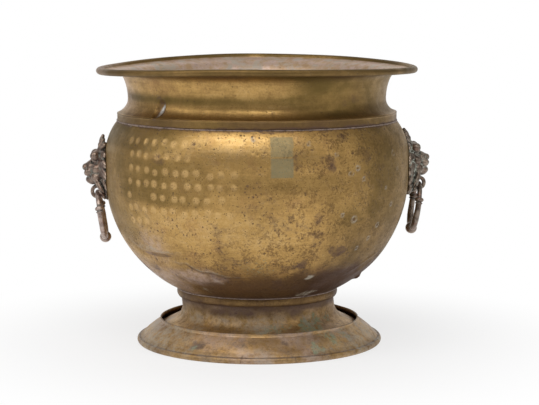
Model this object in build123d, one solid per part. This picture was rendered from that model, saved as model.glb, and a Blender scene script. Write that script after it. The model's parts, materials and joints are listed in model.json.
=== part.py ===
"""Brass jardiniere: a raised bowl with a spun neck, a flared foot and two lion masks that carry ring handles.

All sizes are in millimetres. The pot stands on the plane z = 0 with its axis on Z.
The masks face -X (left) and +X (right). Sections are drawn in the XZ plane, where x is the radius.
"""

import math
import os

from build123d import *

# ---------------------------------------------------------------- sheet, wire and fits
SHEET = 1.2                 # thickness of every sheet-metal piece
BEAD_RADIUS = 3.5           # outside radius of the rolled edges at the rim and the base
WIRE_GAP = 0.05             # clearance between a stiffening wire and the roll around it
SEAM_GAP = 0.4              # width of the open seam that a rolled edge leaves
SEAM_TURN = 55.0            # how far round the roll the seam lies from where the sheet enters it
JOINT_GAP = 0.03            # gap between two pieces that are held together by solder
SOLDER_RADIUS = 1.1         # size of a solder bead on the outside
INNER_SOLDER_RADIUS = 2.2   # size of a solder fillet where nobody sees it
SKIRT_SOLDER_OFFSET = (0.2, 0.4)    # from the skirt's lower corner to the middle of its bead
COLLAR_SOLDER_OFFSET = (-0.3, -0.3) # from the foot moulding's upper corner
COLLAR_SOLDER_RADIUS = 1.6
FOOT_SOLDER_OFFSET = (0.0, -0.6)    # from the inner top edge of the spool

# ---------------------------------------------------------------- bowl
BELLY_RADIUS = 166.0        # largest outside radius
BOTTOM_RADIUS = 27.0        # radius of the flat bottom, from which the round underside starts
SHOULDER_ARC = 60.0         # outside radius of the shoulder
BOTTOM_HEIGHT = 47.0        # outside of the flat bottom above the floor
BELLY_WALL = 21.0           # height of the upright wall between the two arcs

# ---------------------------------------------------------------- neck and rim
SKIRT_INSET = 13.5          # from the belly in to the upright skirt that sleeves over the bowl's mouth
SKIRT_HEIGHT = 8.2          # from the skirt's lower edge to the ridge
THROAT_INSET = 11.5         # from the skirt in to the narrowest part
COVE_RADIUS = 14.4          # hollow curve from the ridge to the throat
NECK_ARC = 60.0             # long curve above the throat
NECK_ARC_ANGLE = 21.0
FLARE_ARC = 16.0            # tight curve into the flange
FLANGE_SLOPE = 15.0         # degrees above the horizontal
RIM_OVERHANG = 22.5         # from the skirt out to the outside of the rolled rim
RIM_JOIN_ANGLE = 35.0       # where the flange enters the roll
MOUTH_TUCK = 4.5            # how far the bowl's edge runs up inside the skirt

# ---------------------------------------------------------------- foot
SPOOL_RADIUS = 84.0         # outside of the upright part of the foot
SPOOL_COVE = 16.0           # hollow curve below it
COVE_RISE = 13.66           # centre of that curve above the base ring's lip
SPOOL_SLOPE = 25.0          # slope of the spool's flange, degrees
COLLAR_HEIGHT = 10.0        # half-round moulding round the top of the foot
COLLAR_PROUD = 4.6          # how far it stands out from the spool
COLLAR_BULGE = 6.2          # half height of the ellipse that its face follows
COLLAR_LAP = 0.3            # how far its top runs up past where it meets the bowl
LIP_OFFSET = 25.5           # from the spool out to the outside of the base ring's upright lip
BASE_SPREAD = 25.5          # from the lip out to the outside of the rolled base
LIP_HEIGHT = 3.2            # its upright part
LIP_TOP = 27.5              # its edge above the floor
WEAR_FLAT_DEPTH = 0.3       # worn off the underside of the base roll

# ---------------------------------------------------------------- lion masks
LEFT_MASK_DROP = 5.5        # centre of each mask below the middle of the belly's upright wall;
RIGHT_MASK_DROP = 0.0       # fitted by hand, so not level
LEFT_MASK_TILT = 5.0        # degrees that each mask leans out at its top, about its centre
RIGHT_MASK_TILT = -5.0
MASK_BACK = 12.0            # how far the casting's blank runs in past the belly before it is fitted
# Each layer of the relief: half width, half height, lift above the centre, how far it stands out
# from the belly, and the fillet of its front edge.
MANE_EDGE = (23.0, 30.0, -2.0, 4.0, 0.8)
MANE = (20.0, 25.0, 1.0, 8.0, 1.5)
BROW = (15.5, 12.5, 12.0, 14.5, 4.0)
CHEEKS = (15.0, 15.0, 2.0, 12.0, 3.0)
MUZZLE = (10.5, 8.5, 0.5, 21.0, 4.0)
CHIN = (7.5, 7.5, -8.0, 22.0, 3.5)
NOSE = (6.5, 5.0, 4.5, 25.0, 2.2)
LOCK_COUNT = 18             # locks of hair round the edge of the mane
LOCK_RADIUS = 4.6
TUFT = (4.0, 11.0, 28.0, 4.6, 1.0)
EAR_RADIUS = 5.5
EAR_PLACE = (7.5, 15.0, 20.0)   # out, across and up

# ---------------------------------------------------------------- ring handles and their eyes
RING_MEAN_RADIUS = 25.0
RING_WIRE_RADIUS = 4.0      # lower, thick part
RING_NECK_RADIUS = 2.7      # upper part that runs through the eye
RING_COLLAR_PROUD = 1.2     # how far the bead collars stand out from the thick part
RING_COLLAR_WIDTH = 4.4
RING_COLLAR_ROUND = 1.3     # fillet of the bead collars
RING_KNOB_RADIUS = 6.4      # knob at the lowest point of the ring
COLLAR_ANGLE = 68.0         # from the top of the ring to each collar, degrees
RING_LEAN = 9.0             # how far each ring leans in towards the bowl, degrees
PIVOT_PROUD = 10.7          # ring's pivot from the belly's outside
PIVOT_DROP = 24.2           # and below the mask's centre
EYE_PLAY = 1.3              # how much larger the eye's hole is than the ring's thin part, in radius
EYE_METAL = 4.2             # metal round the hole
EYE_WIDTH = 7.0
EYE_CLEARANCE = 0.07        # under the ring where it bears on the edges of the eye
SWING_ROOM = 2.3            # room round the ring's shoulders beside the eye
SWING_ROOM_WIDTH = 12.0

# ---------------------------------------------------------------- mask fixings
STUD_RADIUS = 2.0
STUD_BITE = 9.0             # depth of the stud in the mask
STUD_SPACING = 24.0         # between the two studs of a mask
STUD_LIFT = 4.0             # their middle above the mask's centre
STUD_HOLE_CLEARANCE = 0.25
WASHER_RADIUS = 6.0
WASHER_THICKNESS = 1.0
NUT_ACROSS_FLATS = 7.0
NUT_THICKNESS = 3.2
STUD_END = 1.5              # thread that shows past the nut
THREAD_FIT = 0.03
DRILL_LENGTH = 30.0         # of the cutter for a stud's hole in the bowl

# ---------------------------------------------------------------- heights that follow from these
LOWER_ARC = BELLY_RADIUS - BOTTOM_RADIUS
LOWER_CENTRE = (BOTTOM_RADIUS, BOTTOM_HEIGHT + LOWER_ARC)
SHOULDER_CENTRE = (BELLY_RADIUS - SHOULDER_ARC, LOWER_CENTRE[1] + BELLY_WALL)
SKIRT_RADIUS = BELLY_RADIUS - SKIRT_INSET
SKIRT_INNER = SKIRT_RADIUS - SHEET
THROAT_RADIUS = SKIRT_RADIUS - THROAT_INSET
RIM_RADIUS = SKIRT_RADIUS + RIM_OVERHANG
LIP_RADIUS = SPOOL_RADIUS + LIP_OFFSET
BASE_RADIUS = LIP_RADIUS + BASE_SPREAD
MID_BELLY = LOWER_CENTRE[1] + BELLY_WALL / 2
LEFT_MASK_HEIGHT = MID_BELLY - LEFT_MASK_DROP
RIGHT_MASK_HEIGHT = MID_BELLY - RIGHT_MASK_DROP
RING_COLLAR_RADIUS = RING_WIRE_RADIUS + RING_COLLAR_PROUD
EYE_HOLE_RADIUS = RING_NECK_RADIUS + EYE_PLAY
EYE_OUTER_RADIUS = EYE_HOLE_RADIUS + EYE_METAL
SWING_ROOM_RADIUS = RING_NECK_RADIUS + SWING_ROOM


def shoulder_height(radius):
    """Height of the shoulder's outside at a radius."""
    return SHOULDER_CENTRE[1] + math.sqrt(SHOULDER_ARC**2 - (radius - SHOULDER_CENTRE[0]) ** 2)


def underside_height(radius):
    """Height of the bowl's round underside at a radius."""
    return LOWER_CENTRE[1] - math.sqrt(LOWER_ARC**2 - (radius - LOWER_CENTRE[0]) ** 2)


SKIRT_BOTTOM = shoulder_height(SKIRT_INNER) + JOINT_GAP
RIDGE_HEIGHT = SKIRT_BOTTOM + SKIRT_HEIGHT
COLLAR_RADIUS = SPOOL_RADIUS + COLLAR_PROUD
SPOOL_TOP = underside_height(SPOOL_RADIUS - SHEET) - JOINT_GAP
COLLAR_TOP = underside_height(COLLAR_RADIUS) + COLLAR_LAP
BASE_BEAD_HEIGHT = BEAD_RADIUS - WEAR_FLAT_DEPTH


# ---------------------------------------------------------------- helpers
def polar(centre, radius, degrees):
    """A point at a radius and an angle from a centre, in the section plane."""
    angle = math.radians(degrees)
    return (centre[0] + radius * math.cos(angle), centre[1] + radius * math.sin(angle))


def moved(point, offset_by):
    """A point of the section plane moved by an offset."""
    return (point[0] + offset_by[0], point[1] + offset_by[1])


def arc(centre, radius, start, end):
    """An arc in the section plane between two angles in degrees."""
    return CenterArc(centre, radius, start, end - start)


def sheet_section(edges, side):
    """The section of a sheet piece whose outside follows the edges, thickened towards one side."""
    outline = offset(Wire(edges), amount=SHEET, side=side, closed=True)
    return make_face(outline.edges())


def disc(centre, radius):
    """A round face in the section plane."""
    return Pos(centre[0], centre[1]) * Circle(radius)


def turned(section):
    """The solid of revolution of a section about the pot's axis."""
    return revolve(Plane.XZ * section, Axis.Z)


def seam_cut(centre, degrees):
    """The slot in a rolled edge where the sheet's own edge comes back to its face."""
    slot = Rot(0, 0, degrees) * (Pos(BEAD_RADIUS, 0) * Rectangle(2 * BEAD_RADIUS, SEAM_GAP))
    return Pos(centre[0], centre[1]) * slot


def rolled_edge(centre, seam_degrees):
    """The section of a sheet edge rolled round a stiffening wire."""
    tube = disc(centre, BEAD_RADIUS) - disc(centre, BEAD_RADIUS - SHEET)
    return tube - seam_cut(centre, seam_degrees)


def wire_ring(centre):
    """The stiffening wire inside a rolled edge."""
    return turned(disc(centre, BEAD_RADIUS - SHEET - WIRE_GAP))


# ---------------------------------------------------------------- bowl, neck and rim
def bowl_outline(mouth_height):
    """Outside of the bowl from the axis up to its mouth."""
    mouth_angle = math.degrees(math.asin((mouth_height - SHOULDER_CENTRE[1]) / SHOULDER_ARC))
    belly_low = (BELLY_RADIUS, LOWER_CENTRE[1])
    belly_high = (BELLY_RADIUS, SHOULDER_CENTRE[1])
    return [
        Line((0, BOTTOM_HEIGHT), (LOWER_CENTRE[0], BOTTOM_HEIGHT)),
        arc(LOWER_CENTRE, LOWER_ARC, -90, 0),
        Line(belly_low, belly_high),
        arc(SHOULDER_CENTRE, SHOULDER_ARC, 0, mouth_angle),
    ]


def make_bowl():
    return turned(sheet_section(bowl_outline(SKIRT_BOTTOM + MOUTH_TUCK), Side.LEFT))


def bowl_envelope_section():
    """The section of the bowl's outside, filled in, for cutting what seats on it."""
    edges = bowl_outline(SKIRT_BOTTOM + MOUTH_TUCK)
    mouth = edges[-1] @ 1
    edges += [Line((mouth.X, mouth.Y), (0, mouth.Y)), Line((0, mouth.Y), (0, BOTTOM_HEIGHT))]
    return make_face(edges)


def neck_points():
    """Centres and ends of the neck's curves, and the centre of the rolled rim."""
    cove_x = THROAT_RADIUS + COVE_RADIUS
    cove_angle = 360 - math.degrees(math.acos((SKIRT_RADIUS - cove_x) / COVE_RADIUS))
    throat_height = RIDGE_HEIGHT - COVE_RADIUS * math.sin(math.radians(cove_angle))
    cove = (cove_x, throat_height)
    long_arc = (THROAT_RADIUS + NECK_ARC, throat_height)
    flare_start = polar(long_arc, NECK_ARC, 180 - NECK_ARC_ANGLE)
    flare = polar(flare_start, FLARE_ARC, -NECK_ARC_ANGLE)
    flange_start = polar(flare, FLARE_ARC, 90 + FLANGE_SLOPE)
    reach = BEAD_RADIUS - SHEET / 2
    bead_x = RIM_RADIUS - BEAD_RADIUS
    flange_x = bead_x - reach * math.cos(math.radians(RIM_JOIN_ANGLE))
    flange_rise = (flange_x - flange_start[0]) * math.tan(math.radians(FLANGE_SLOPE))
    flange_end = (flange_x, flange_start[1] + flange_rise)
    bead = polar(flange_end, reach, RIM_JOIN_ANGLE)
    return cove, cove_angle, long_arc, flare, flange_start, flange_end, bead


def neck_section():
    cove, cove_angle, long_arc, flare, flange_start, flange_end, bead = neck_points()
    edges = [
        Line((SKIRT_RADIUS, SKIRT_BOTTOM), (SKIRT_RADIUS, RIDGE_HEIGHT)),
        arc(cove, COVE_RADIUS, cove_angle, 180),
        arc(long_arc, NECK_ARC, 180, 180 - NECK_ARC_ANGLE),
        arc(flare, FLARE_ARC, 180 - NECK_ARC_ANGLE, 90 + FLANGE_SLOPE),
        Line(flange_start, flange_end),
    ]
    section = sheet_section(edges, Side.LEFT) - disc(bead, BEAD_RADIUS - SHEET)
    return section + rolled_edge(bead, 180 + FLANGE_SLOPE + SEAM_TURN)


def solder_bead(centre, radius, *neighbours):
    """A ring of solder that fills the corner between the sections of the pieces it joins."""
    section = disc(centre, radius)
    for neighbour in neighbours:
        section -= neighbour
    return turned(max(section.faces(), key=lambda face: face.area))


def band(inner, outer, height):
    """A tall strip of the section plane between two radii, which keeps solder out of a narrow gap."""
    return Pos((inner + outer) / 2, height) * Rectangle(outer - inner, 4 * INNER_SOLDER_RADIUS)


# ---------------------------------------------------------------- foot
def spool_outline():
    """Outside of the foot's spool, from under the bowl to the edge of its flange."""
    wall_bottom = LIP_TOP + COVE_RISE
    cove = (SPOOL_RADIUS + SPOOL_COVE, wall_bottom)
    flange_start = polar(cove, SPOOL_COVE, 270 - SPOOL_SLOPE)
    flange_length = spool_flange_length(flange_start)
    flange_end = polar(flange_start, flange_length, -SPOOL_SLOPE)
    return [
        Line((SPOOL_RADIUS, SPOOL_TOP), (SPOOL_RADIUS, wall_bottom)),
        arc(cove, SPOOL_COVE, 180, 270 - SPOOL_SLOPE),
        Line(flange_start, flange_end),
    ]


def base_slope_points():
    """Ends of the base ring's sloping face, and the centre of the rolled base edge."""
    bead = (BASE_RADIUS - BEAD_RADIUS, BASE_BEAD_HEIGHT)
    slope_top = (LIP_RADIUS, LIP_TOP - LIP_HEIGHT)
    run = math.dist(slope_top, bead)
    drop = math.degrees(math.atan2(bead[1] - slope_top[1], bead[0] - slope_top[0]))
    swing = math.degrees(math.asin((BEAD_RADIUS - SHEET / 2) / run))
    slope_angle = drop + swing
    slope_bottom = polar(bead, BEAD_RADIUS - SHEET / 2, slope_angle + 90)
    return slope_top, slope_bottom, slope_angle, bead


def spool_flange_length(start):
    """How far the spool's flange runs before its edge meets the underside of the base ring's slope."""
    slope_top, _, slope_angle, _ = base_slope_points()
    slope = math.tan(math.radians(slope_angle))
    flange = math.tan(math.radians(-SPOOL_SLOPE))
    room = (SHEET + JOINT_GAP) / math.cos(math.radians(slope_angle))
    gap_at_start = slope_top[1] + slope * (start[0] - slope_top[0]) - room - start[1]
    run = gap_at_start / (flange - slope)
    return run / math.cos(math.radians(SPOOL_SLOPE))


def spool_section():
    return sheet_section(spool_outline(), Side.RIGHT)


def collar_section(envelope):
    """Half-round moulding round the joint between the bowl and the foot."""
    inner = SPOOL_RADIUS + JOINT_GAP
    middle = COLLAR_TOP - COLLAR_HEIGHT / 2
    back = Pos(inner, middle) * Rectangle(2 * COLLAR_PROUD, COLLAR_HEIGHT)
    bulge = Pos(inner, middle) * Ellipse(COLLAR_PROUD - JOINT_GAP, COLLAR_BULGE)
    face = back & bulge
    hollow = Pos(inner / 2, middle) * Rectangle(inner, 2 * COLLAR_HEIGHT)
    return face - hollow - envelope


def base_ring_section():
    slope_top, slope_bottom, slope_angle, bead = base_slope_points()
    edges = [
        Line((LIP_RADIUS, LIP_TOP), slope_top),
        Line(slope_top, slope_bottom),
    ]
    section = sheet_section(edges, Side.RIGHT) - disc(bead, BEAD_RADIUS - SHEET)
    section += rolled_edge(bead, slope_angle + 180 + SEAM_TURN)
    below_floor = Pos(BASE_RADIUS, -BEAD_RADIUS) * Rectangle(BASE_RADIUS, 2 * BEAD_RADIUS)
    return section - below_floor


# ---------------------------------------------------------------- lion masks, in their own frame
# The mask's frame has x out of the belly, y across the face and z up; x = 0 is the belly's outside.
def layer_outline(layer):
    """The outline of one layer of the relief, across the face."""
    half_width, half_height, lift, _, _ = layer
    return Pos(0, lift) * Ellipse(half_width, half_height)


def raised(outline, proud):
    """An outline raised from behind the belly's surface."""
    return extrude(Plane.YZ.offset(-MASK_BACK) * outline, MASK_BACK + proud, dir=(1, 0, 0))


def layer_solid(layer):
    """One layer of the relief, with its front edge rounded."""
    solid = raised(layer_outline(layer), layer[3])
    front = solid.faces().sort_by(Axis.X)[-1]
    return fillet(front.edges(), layer[4])


def mane_outline():
    """The scalloped edge of the mane."""
    half_width, half_height, lift, _, _ = MANE_EDGE
    outline = layer_outline(MANE_EDGE)
    for index in range(LOCK_COUNT):
        angle = 2 * math.pi * (index + 0.5) / LOCK_COUNT
        place = (half_width * math.sin(angle), lift + half_height * math.cos(angle))
        outline += Pos(*place) * Circle(LOCK_RADIUS)
    return outline


def make_mask_blank():
    """The whole casting, with its back left long so that it can be cut to the bowl."""
    mask = raised(mane_outline(), MANE_EDGE[3])
    for layer in (TUFT, MANE, CHEEKS, BROW, MUZZLE, CHIN, NOSE):
        mask += layer_solid(layer)
    for side in (-1, 1):
        x, y, z = EAR_PLACE
        mask += Pos(x, side * y, z) * Sphere(EAR_RADIUS)
    return mask + make_eye()


def pivot_direction():
    """Direction of the ring's pivot from the mask's centre, in degrees above straight out."""
    return math.degrees(math.atan2(-PIVOT_DROP, PIVOT_PROUD))


def eye_centre():
    """Centre of the eye's hole; the ring bears on its lower side, at the edges."""
    sag = RING_MEAN_RADIUS - math.sqrt(RING_MEAN_RADIUS**2 - (EYE_WIDTH / 2) ** 2)
    sit = EYE_PLAY - sag - EYE_CLEARANCE
    return (PIVOT_PROUD, -PIVOT_DROP + sit)


def make_eye():
    """The lug under the chin that the ring hangs in."""
    x, z = eye_centre()
    return Pos(x, 0, z) * Rot(90, 0, 0) * Cylinder(EYE_OUTER_RADIUS, EYE_WIDTH)


def eye_bore():
    """The eye's hole."""
    x, z = eye_centre()
    return Pos(x, 0, z) * Rot(90, 0, 0) * Cylinder(EYE_HOLE_RADIUS, 3 * EYE_WIDTH)


def ring_swing_room():
    """What is cut away on each side of the eye so that the ring's shoulders can swing."""
    rooms = []
    for side in (-1, 1):
        middle = side * (EYE_WIDTH + SWING_ROOM_WIDTH) / 2
        room = Rot(90, 0, 0) * Cylinder(SWING_ROOM_RADIUS, SWING_ROOM_WIDTH)
        rooms.append(Pos(PIVOT_PROUD, middle, -PIVOT_DROP) * room)
    return rooms[0] + rooms[1]


def stud_heights():
    """Heights of a mask's two studs above its centre."""
    return {"lower": STUD_LIFT - STUD_SPACING / 2, "upper": STUD_LIFT + STUD_SPACING / 2}


def stud_cut():
    """The two tapped holes in the back of a mask."""
    holes = []
    length = STUD_BITE + MASK_BACK
    for height in stud_heights().values():
        x = STUD_BITE - length / 2
        holes.append(Pos(x, 0, height) * Rot(0, 90, 0) * Cylinder(STUD_RADIUS + THREAD_FIT, length))
    return holes[0] + holes[1]


def make_ring():
    """A ring handle about its pivot at the origin, hanging straight down in the YZ plane."""
    centre = (0, 0, -RING_MEAN_RADIUS)
    ring_axis = Axis(centre, (1, 0, 0))
    thin = thick_arc(RING_NECK_RADIUS, -COLLAR_ANGLE, COLLAR_ANGLE, ring_axis)
    thick = thick_arc(RING_WIRE_RADIUS, COLLAR_ANGLE, 360 - COLLAR_ANGLE, ring_axis)
    ring = thin + thick
    for side in (-1, 1):
        around = Rot(side * COLLAR_ANGLE, 0, 0)
        bead = Rot(90, 0, 0) * Cylinder(RING_COLLAR_RADIUS, RING_COLLAR_WIDTH)
        bead = fillet(bead.edges(), RING_COLLAR_ROUND)
        ring += Pos(*centre) * around * Pos(0, 0, RING_MEAN_RADIUS) * bead
    return ring + Pos(0, 0, -2 * RING_MEAN_RADIUS) * Sphere(RING_KNOB_RADIUS)


def thick_arc(radius, start, end, ring_axis):
    """A bent rod of one thickness between two angles from the top of the ring."""
    section = Plane.XZ * Circle(radius)
    bent = revolve(section, ring_axis, end - start)
    turn = Pos(0, 0, -RING_MEAN_RADIUS) * Rot(start, 0, 0) * Pos(0, 0, RING_MEAN_RADIUS)
    return turn * bent


# ---------------------------------------------------------------- mask fixings
def wall_inside(y, z):
    """How far out the bowl's inside wall is at a place across and above the floor."""
    if z < LOWER_CENTRE[1]:
        radius = LOWER_CENTRE[0] + math.sqrt((LOWER_ARC - SHEET) ** 2 - (LOWER_CENTRE[1] - z) ** 2)
    elif z > SHOULDER_CENTRE[1]:
        rise = z - SHOULDER_CENTRE[1]
        radius = SHOULDER_CENTRE[0] + math.sqrt((SHOULDER_ARC - SHEET) ** 2 - rise**2)
    else:
        radius = BELLY_RADIUS - SHEET
    return math.sqrt(radius**2 - y**2)


def washer_seat(height):
    """Distance from the axis at which a flat washer first touches the inside wall."""
    points = [polar((0, height), WASHER_RADIUS, step * 15) for step in range(24)]
    return min(wall_inside(y, z) for y, z in points) - JOINT_GAP


def along_x(solid, x, z):
    """Lays a piece that was made along Z along X instead, with its middle at x."""
    return Pos(x, 0, z) * Rot(0, 90, 0) * solid


def make_fixing(height):
    """A stud, its washer and its nut on the right-hand side, for a hole at a height."""
    seat = washer_seat(height)
    nut_face = seat - WASHER_THICKNESS - JOINT_GAP
    stud_inner = nut_face - NUT_THICKNESS - STUD_END
    stud_outer = BELLY_RADIUS + STUD_BITE - JOINT_GAP
    stud_length = stud_outer - stud_inner
    stud = along_x(Cylinder(STUD_RADIUS, stud_length), (stud_inner + stud_outer) / 2, height)
    washer = Cylinder(WASHER_RADIUS, WASHER_THICKNESS) - Cylinder(
        STUD_RADIUS + STUD_HOLE_CLEARANCE, WASHER_THICKNESS
    )
    washer = along_x(washer, seat - WASHER_THICKNESS / 2, height)
    nut = extrude(RegularPolygon(NUT_ACROSS_FLATS / 2, 6, major_radius=False), NUT_THICKNESS / 2, both=True)
    nut -= Cylinder(STUD_RADIUS + THREAD_FIT, NUT_THICKNESS)
    nut = along_x(nut, nut_face - NUT_THICKNESS / 2, height)
    return {"stud": stud, "washer": washer, "nut": nut}


def wall_hole(height):
    """The hole in the bowl that a stud passes through."""
    radius = STUD_RADIUS + STUD_HOLE_CLEARANCE
    return along_x(Cylinder(radius, DRILL_LENGTH), BELLY_RADIUS, height)


# ---------------------------------------------------------------- assembly
def to_side(solid, side):
    """Turns a piece made for the right-hand side round to the side asked for."""
    return solid if side == "right" else Rot(0, 0, 180) * solid


def build():
    nodes = {}
    bowl = make_bowl()
    envelope = bowl_envelope_section()
    neck = neck_section()
    spool = spool_section()
    collar = collar_section(envelope)
    base_ring = base_ring_section()
    skirt_corner = moved((SKIRT_RADIUS, shoulder_height(SKIRT_RADIUS)), SKIRT_SOLDER_OFFSET)
    collar_corner = moved((COLLAR_RADIUS, COLLAR_TOP), COLLAR_SOLDER_OFFSET)
    foot_corner = moved((SPOOL_RADIUS - SHEET, SPOOL_TOP), FOOT_SOLDER_OFFSET)
    flange_edge = spool_outline()[-1] @ 1
    base_corner = (flange_edge.X, flange_edge.Y - SHEET)
    skirt_wall = band(SKIRT_INNER, SKIRT_RADIUS, SKIRT_BOTTOM)
    spool_wall = band(SPOOL_RADIUS - SHEET, COLLAR_RADIUS, SPOOL_TOP)
    nodes["neck"] = turned(neck)
    nodes["rim_wire"] = wire_ring(neck_points()[-1])
    nodes["shoulder_solder"] = solder_bead(skirt_corner, SOLDER_RADIUS, envelope, skirt_wall)
    nodes["foot_collar"] = turned(collar)
    nodes["collar_solder"] = solder_bead(collar_corner, COLLAR_SOLDER_RADIUS, envelope, collar)
    nodes["foot_spool"] = turned(spool)
    nodes["foot_solder"] = solder_bead(foot_corner, INNER_SOLDER_RADIUS, envelope, spool_wall)
    nodes["base_ring"] = turned(base_ring)
    nodes["base_wire"] = wire_ring(base_slope_points()[-1])
    nodes["base_solder"] = solder_bead(base_corner, INNER_SOLDER_RADIUS, spool, base_ring)

    bowl_shape = turned(envelope)
    blank = make_mask_blank() - eye_bore() - ring_swing_room()
    ring = make_ring()
    sides = (("left", LEFT_MASK_HEIGHT, LEFT_MASK_TILT), ("right", RIGHT_MASK_HEIGHT, RIGHT_MASK_TILT))
    for side, centre, tilt in sides:
        place_mask = Pos(BELLY_RADIUS, 0, centre)
        mask = place_mask * Rot(0, tilt, 0) * blank - bowl_shape - place_mask * stud_cut()
        nodes[side + "_lion_mask"] = to_side(mask, side)
        out, up = polar((0, 0), math.hypot(PIVOT_PROUD, PIVOT_DROP), pivot_direction() - tilt)
        pivot = Pos(BELLY_RADIUS + out, 0, centre + up)
        nodes[side + "_ring"] = to_side(pivot * Rot(0, RING_LEAN, 0) * ring, side)
        for place, lift in stud_heights().items():
            bowl -= to_side(wall_hole(centre + lift), side)
            for piece, solid in make_fixing(centre + lift).items():
                nodes[f"{side}_{place}_{piece}"] = to_side(solid, side)
    nodes["bowl"] = bowl
    return nodes


if __name__ == "__main__":
    os.makedirs("parts", exist_ok=True)
    for name, shape in build().items():
        export_step(shape, f"parts/{name}.step")
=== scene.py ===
import json
import math

import bpy
import numpy as np
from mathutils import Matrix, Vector


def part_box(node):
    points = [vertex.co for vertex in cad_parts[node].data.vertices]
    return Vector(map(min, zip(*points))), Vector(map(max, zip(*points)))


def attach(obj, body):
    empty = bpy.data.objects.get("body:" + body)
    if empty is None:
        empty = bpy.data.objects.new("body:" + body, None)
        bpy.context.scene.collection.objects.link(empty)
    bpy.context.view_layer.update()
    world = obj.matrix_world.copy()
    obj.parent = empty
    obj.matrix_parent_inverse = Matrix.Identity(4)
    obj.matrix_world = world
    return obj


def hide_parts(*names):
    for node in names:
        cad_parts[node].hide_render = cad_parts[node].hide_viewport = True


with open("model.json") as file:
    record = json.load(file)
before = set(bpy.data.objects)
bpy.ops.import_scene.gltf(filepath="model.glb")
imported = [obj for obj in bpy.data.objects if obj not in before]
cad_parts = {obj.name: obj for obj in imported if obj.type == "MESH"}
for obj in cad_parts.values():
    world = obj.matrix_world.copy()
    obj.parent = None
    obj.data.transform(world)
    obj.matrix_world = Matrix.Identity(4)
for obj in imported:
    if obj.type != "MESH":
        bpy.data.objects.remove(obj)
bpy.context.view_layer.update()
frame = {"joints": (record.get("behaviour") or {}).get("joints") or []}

MM = 0.001
TURN = -3.2                     # the viewer stands this many degrees round from facing -Y squarely
LEFT_MASK, RIGHT_MASK = 180.0 - TURN, -TURN     # where the masks are, in azimuths as the viewer sees them


# ------------------------------------------------------------------ numbers
def smoothstep(low, high, value):
    t = np.clip((value - low) / (high - low), 0, 1)
    return t * t * (3 - 2 * t)


def lattice(x, y, z, seed):
    """A fixed random number from 0 to 1 at each point of a whole-number grid."""
    h = x * np.uint32(374761393) ^ y * np.uint32(668265263) ^ z * np.uint32(2246822519)
    h = h ^ np.uint32((seed * 3266489917 + 101) & 0xFFFFFFFF)
    h = (h ^ (h >> np.uint32(15))) * np.uint32(2246822519)
    h = (h ^ (h >> np.uint32(13))) * np.uint32(3266489917)
    return (h ^ (h >> np.uint32(16))).astype(np.float64) / 4294967295.0


def noise(points, size, seed=0):
    """Smooth value noise from -1 to 1. points are in mm and size is the width of a lump in mm."""
    p = np.asarray(points, float) / size + 1000.0
    cell = np.floor(p)
    f = p - cell
    f = f * f * (3 - 2 * f)
    cell = cell.astype(np.int64).astype(np.uint32)
    total = 0
    for dx in (0, 1):
        for dy in (0, 1):
            for dz in (0, 1):
                weight = 1
                for axis, d in enumerate((dx, dy, dz)):
                    weight = weight * (f[..., axis] if d else 1 - f[..., axis])
                x, y, z = (cell[..., a] + np.uint32(d) for a, d in enumerate((dx, dy, dz)))
                total = total + weight * lattice(x, y, z, seed)
    return 2 * total - 1


def layered(points, size, seed=0, layers=3):
    """Several sizes of noise added up."""
    total = 0
    for k in range(layers):
        total = total + noise(points, size / 2**k, seed + 17 * k) / 2**k
    return total / (2 - 0.5 ** (layers - 1))


def angle_gap(azimuth, centre):
    """Difference of two azimuths in degrees, from -180 to 180."""
    return (azimuth - centre + 180.0) % 360.0 - 180.0


# ------------------------------------------------------------------ meshes
def make_mesh(name, points, faces, material, body, replaces=(), smooth=True):
    """A mesh object from points in mm and lists of corner numbers (quads, with -1 for a triangle's last)."""
    mesh = bpy.data.meshes.new(name)
    points = np.asarray(points, np.float32).reshape(-1, 3) * np.float32(MM)
    faces = np.asarray(faces, np.int32)
    counts = np.where(faces[:, 3] < 0, 3, 4).astype(np.int32)
    corners = faces[faces >= 0]
    mesh.vertices.add(len(points))
    mesh.vertices.foreach_set("co", points.ravel())
    mesh.loops.add(len(corners))
    mesh.loops.foreach_set("vertex_index", corners)
    mesh.polygons.add(len(faces))
    starts = np.concatenate([[0], np.cumsum(counts)[:-1]]).astype(np.int32)
    mesh.polygons.foreach_set("loop_start", starts)
    mesh.polygons.foreach_set("loop_total", counts)
    mesh.polygons.foreach_set("use_smooth", np.full(len(faces), smooth))
    mesh.update(calc_edges=True)
    mesh.validate()
    piece = bpy.data.objects.new(name, mesh)
    bpy.context.scene.collection.objects.link(piece)
    mesh.materials.append(material)
    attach(piece, body)
    if replaces:
        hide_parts(*replaces)
    return piece


def direction(degrees):
    return np.array((math.cos(math.radians(degrees)), math.sin(math.radians(degrees))))


def paint(piece, **values):
    """Stores numbers at a piece's points for its material to read."""
    for name, value in values.items():
        attribute = piece.data.attributes.new(name, "FLOAT", "POINT")
        attribute.data.foreach_set("value", np.ascontiguousarray(value, np.float32).ravel())


def grid_faces(rows, columns, closed_rows, offset=0):
    """Quads of a grid that closes round its columns, and round its rows if asked."""
    i = np.arange(rows if closed_rows else rows - 1)
    j = np.arange(columns)
    i, j = np.meshgrid(i, j, indexing="ij")
    i2, j2 = (i + 1) % rows, (j + 1) % columns
    quads = np.stack([i * columns + j, i * columns + j2, i2 * columns + j2, i2 * columns + j], -1)
    return quads.reshape(-1, 4) + offset


def capped_faces(rows, columns):
    """Faces of a grid of rings that ends in a single point, the first and the last, at each end."""
    j = np.arange(columns)
    j2 = (j + 1) % columns
    last = rows * columns + 1
    none = np.full(columns, -1)
    start = np.stack([np.zeros(columns, int), 1 + j2, 1 + j, none], -1)
    end = np.stack([np.full(columns, last), last - columns + j, last - columns + j2, none], -1)
    return np.concatenate([grid_faces(rows, columns, False, 1), start, end])


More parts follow.
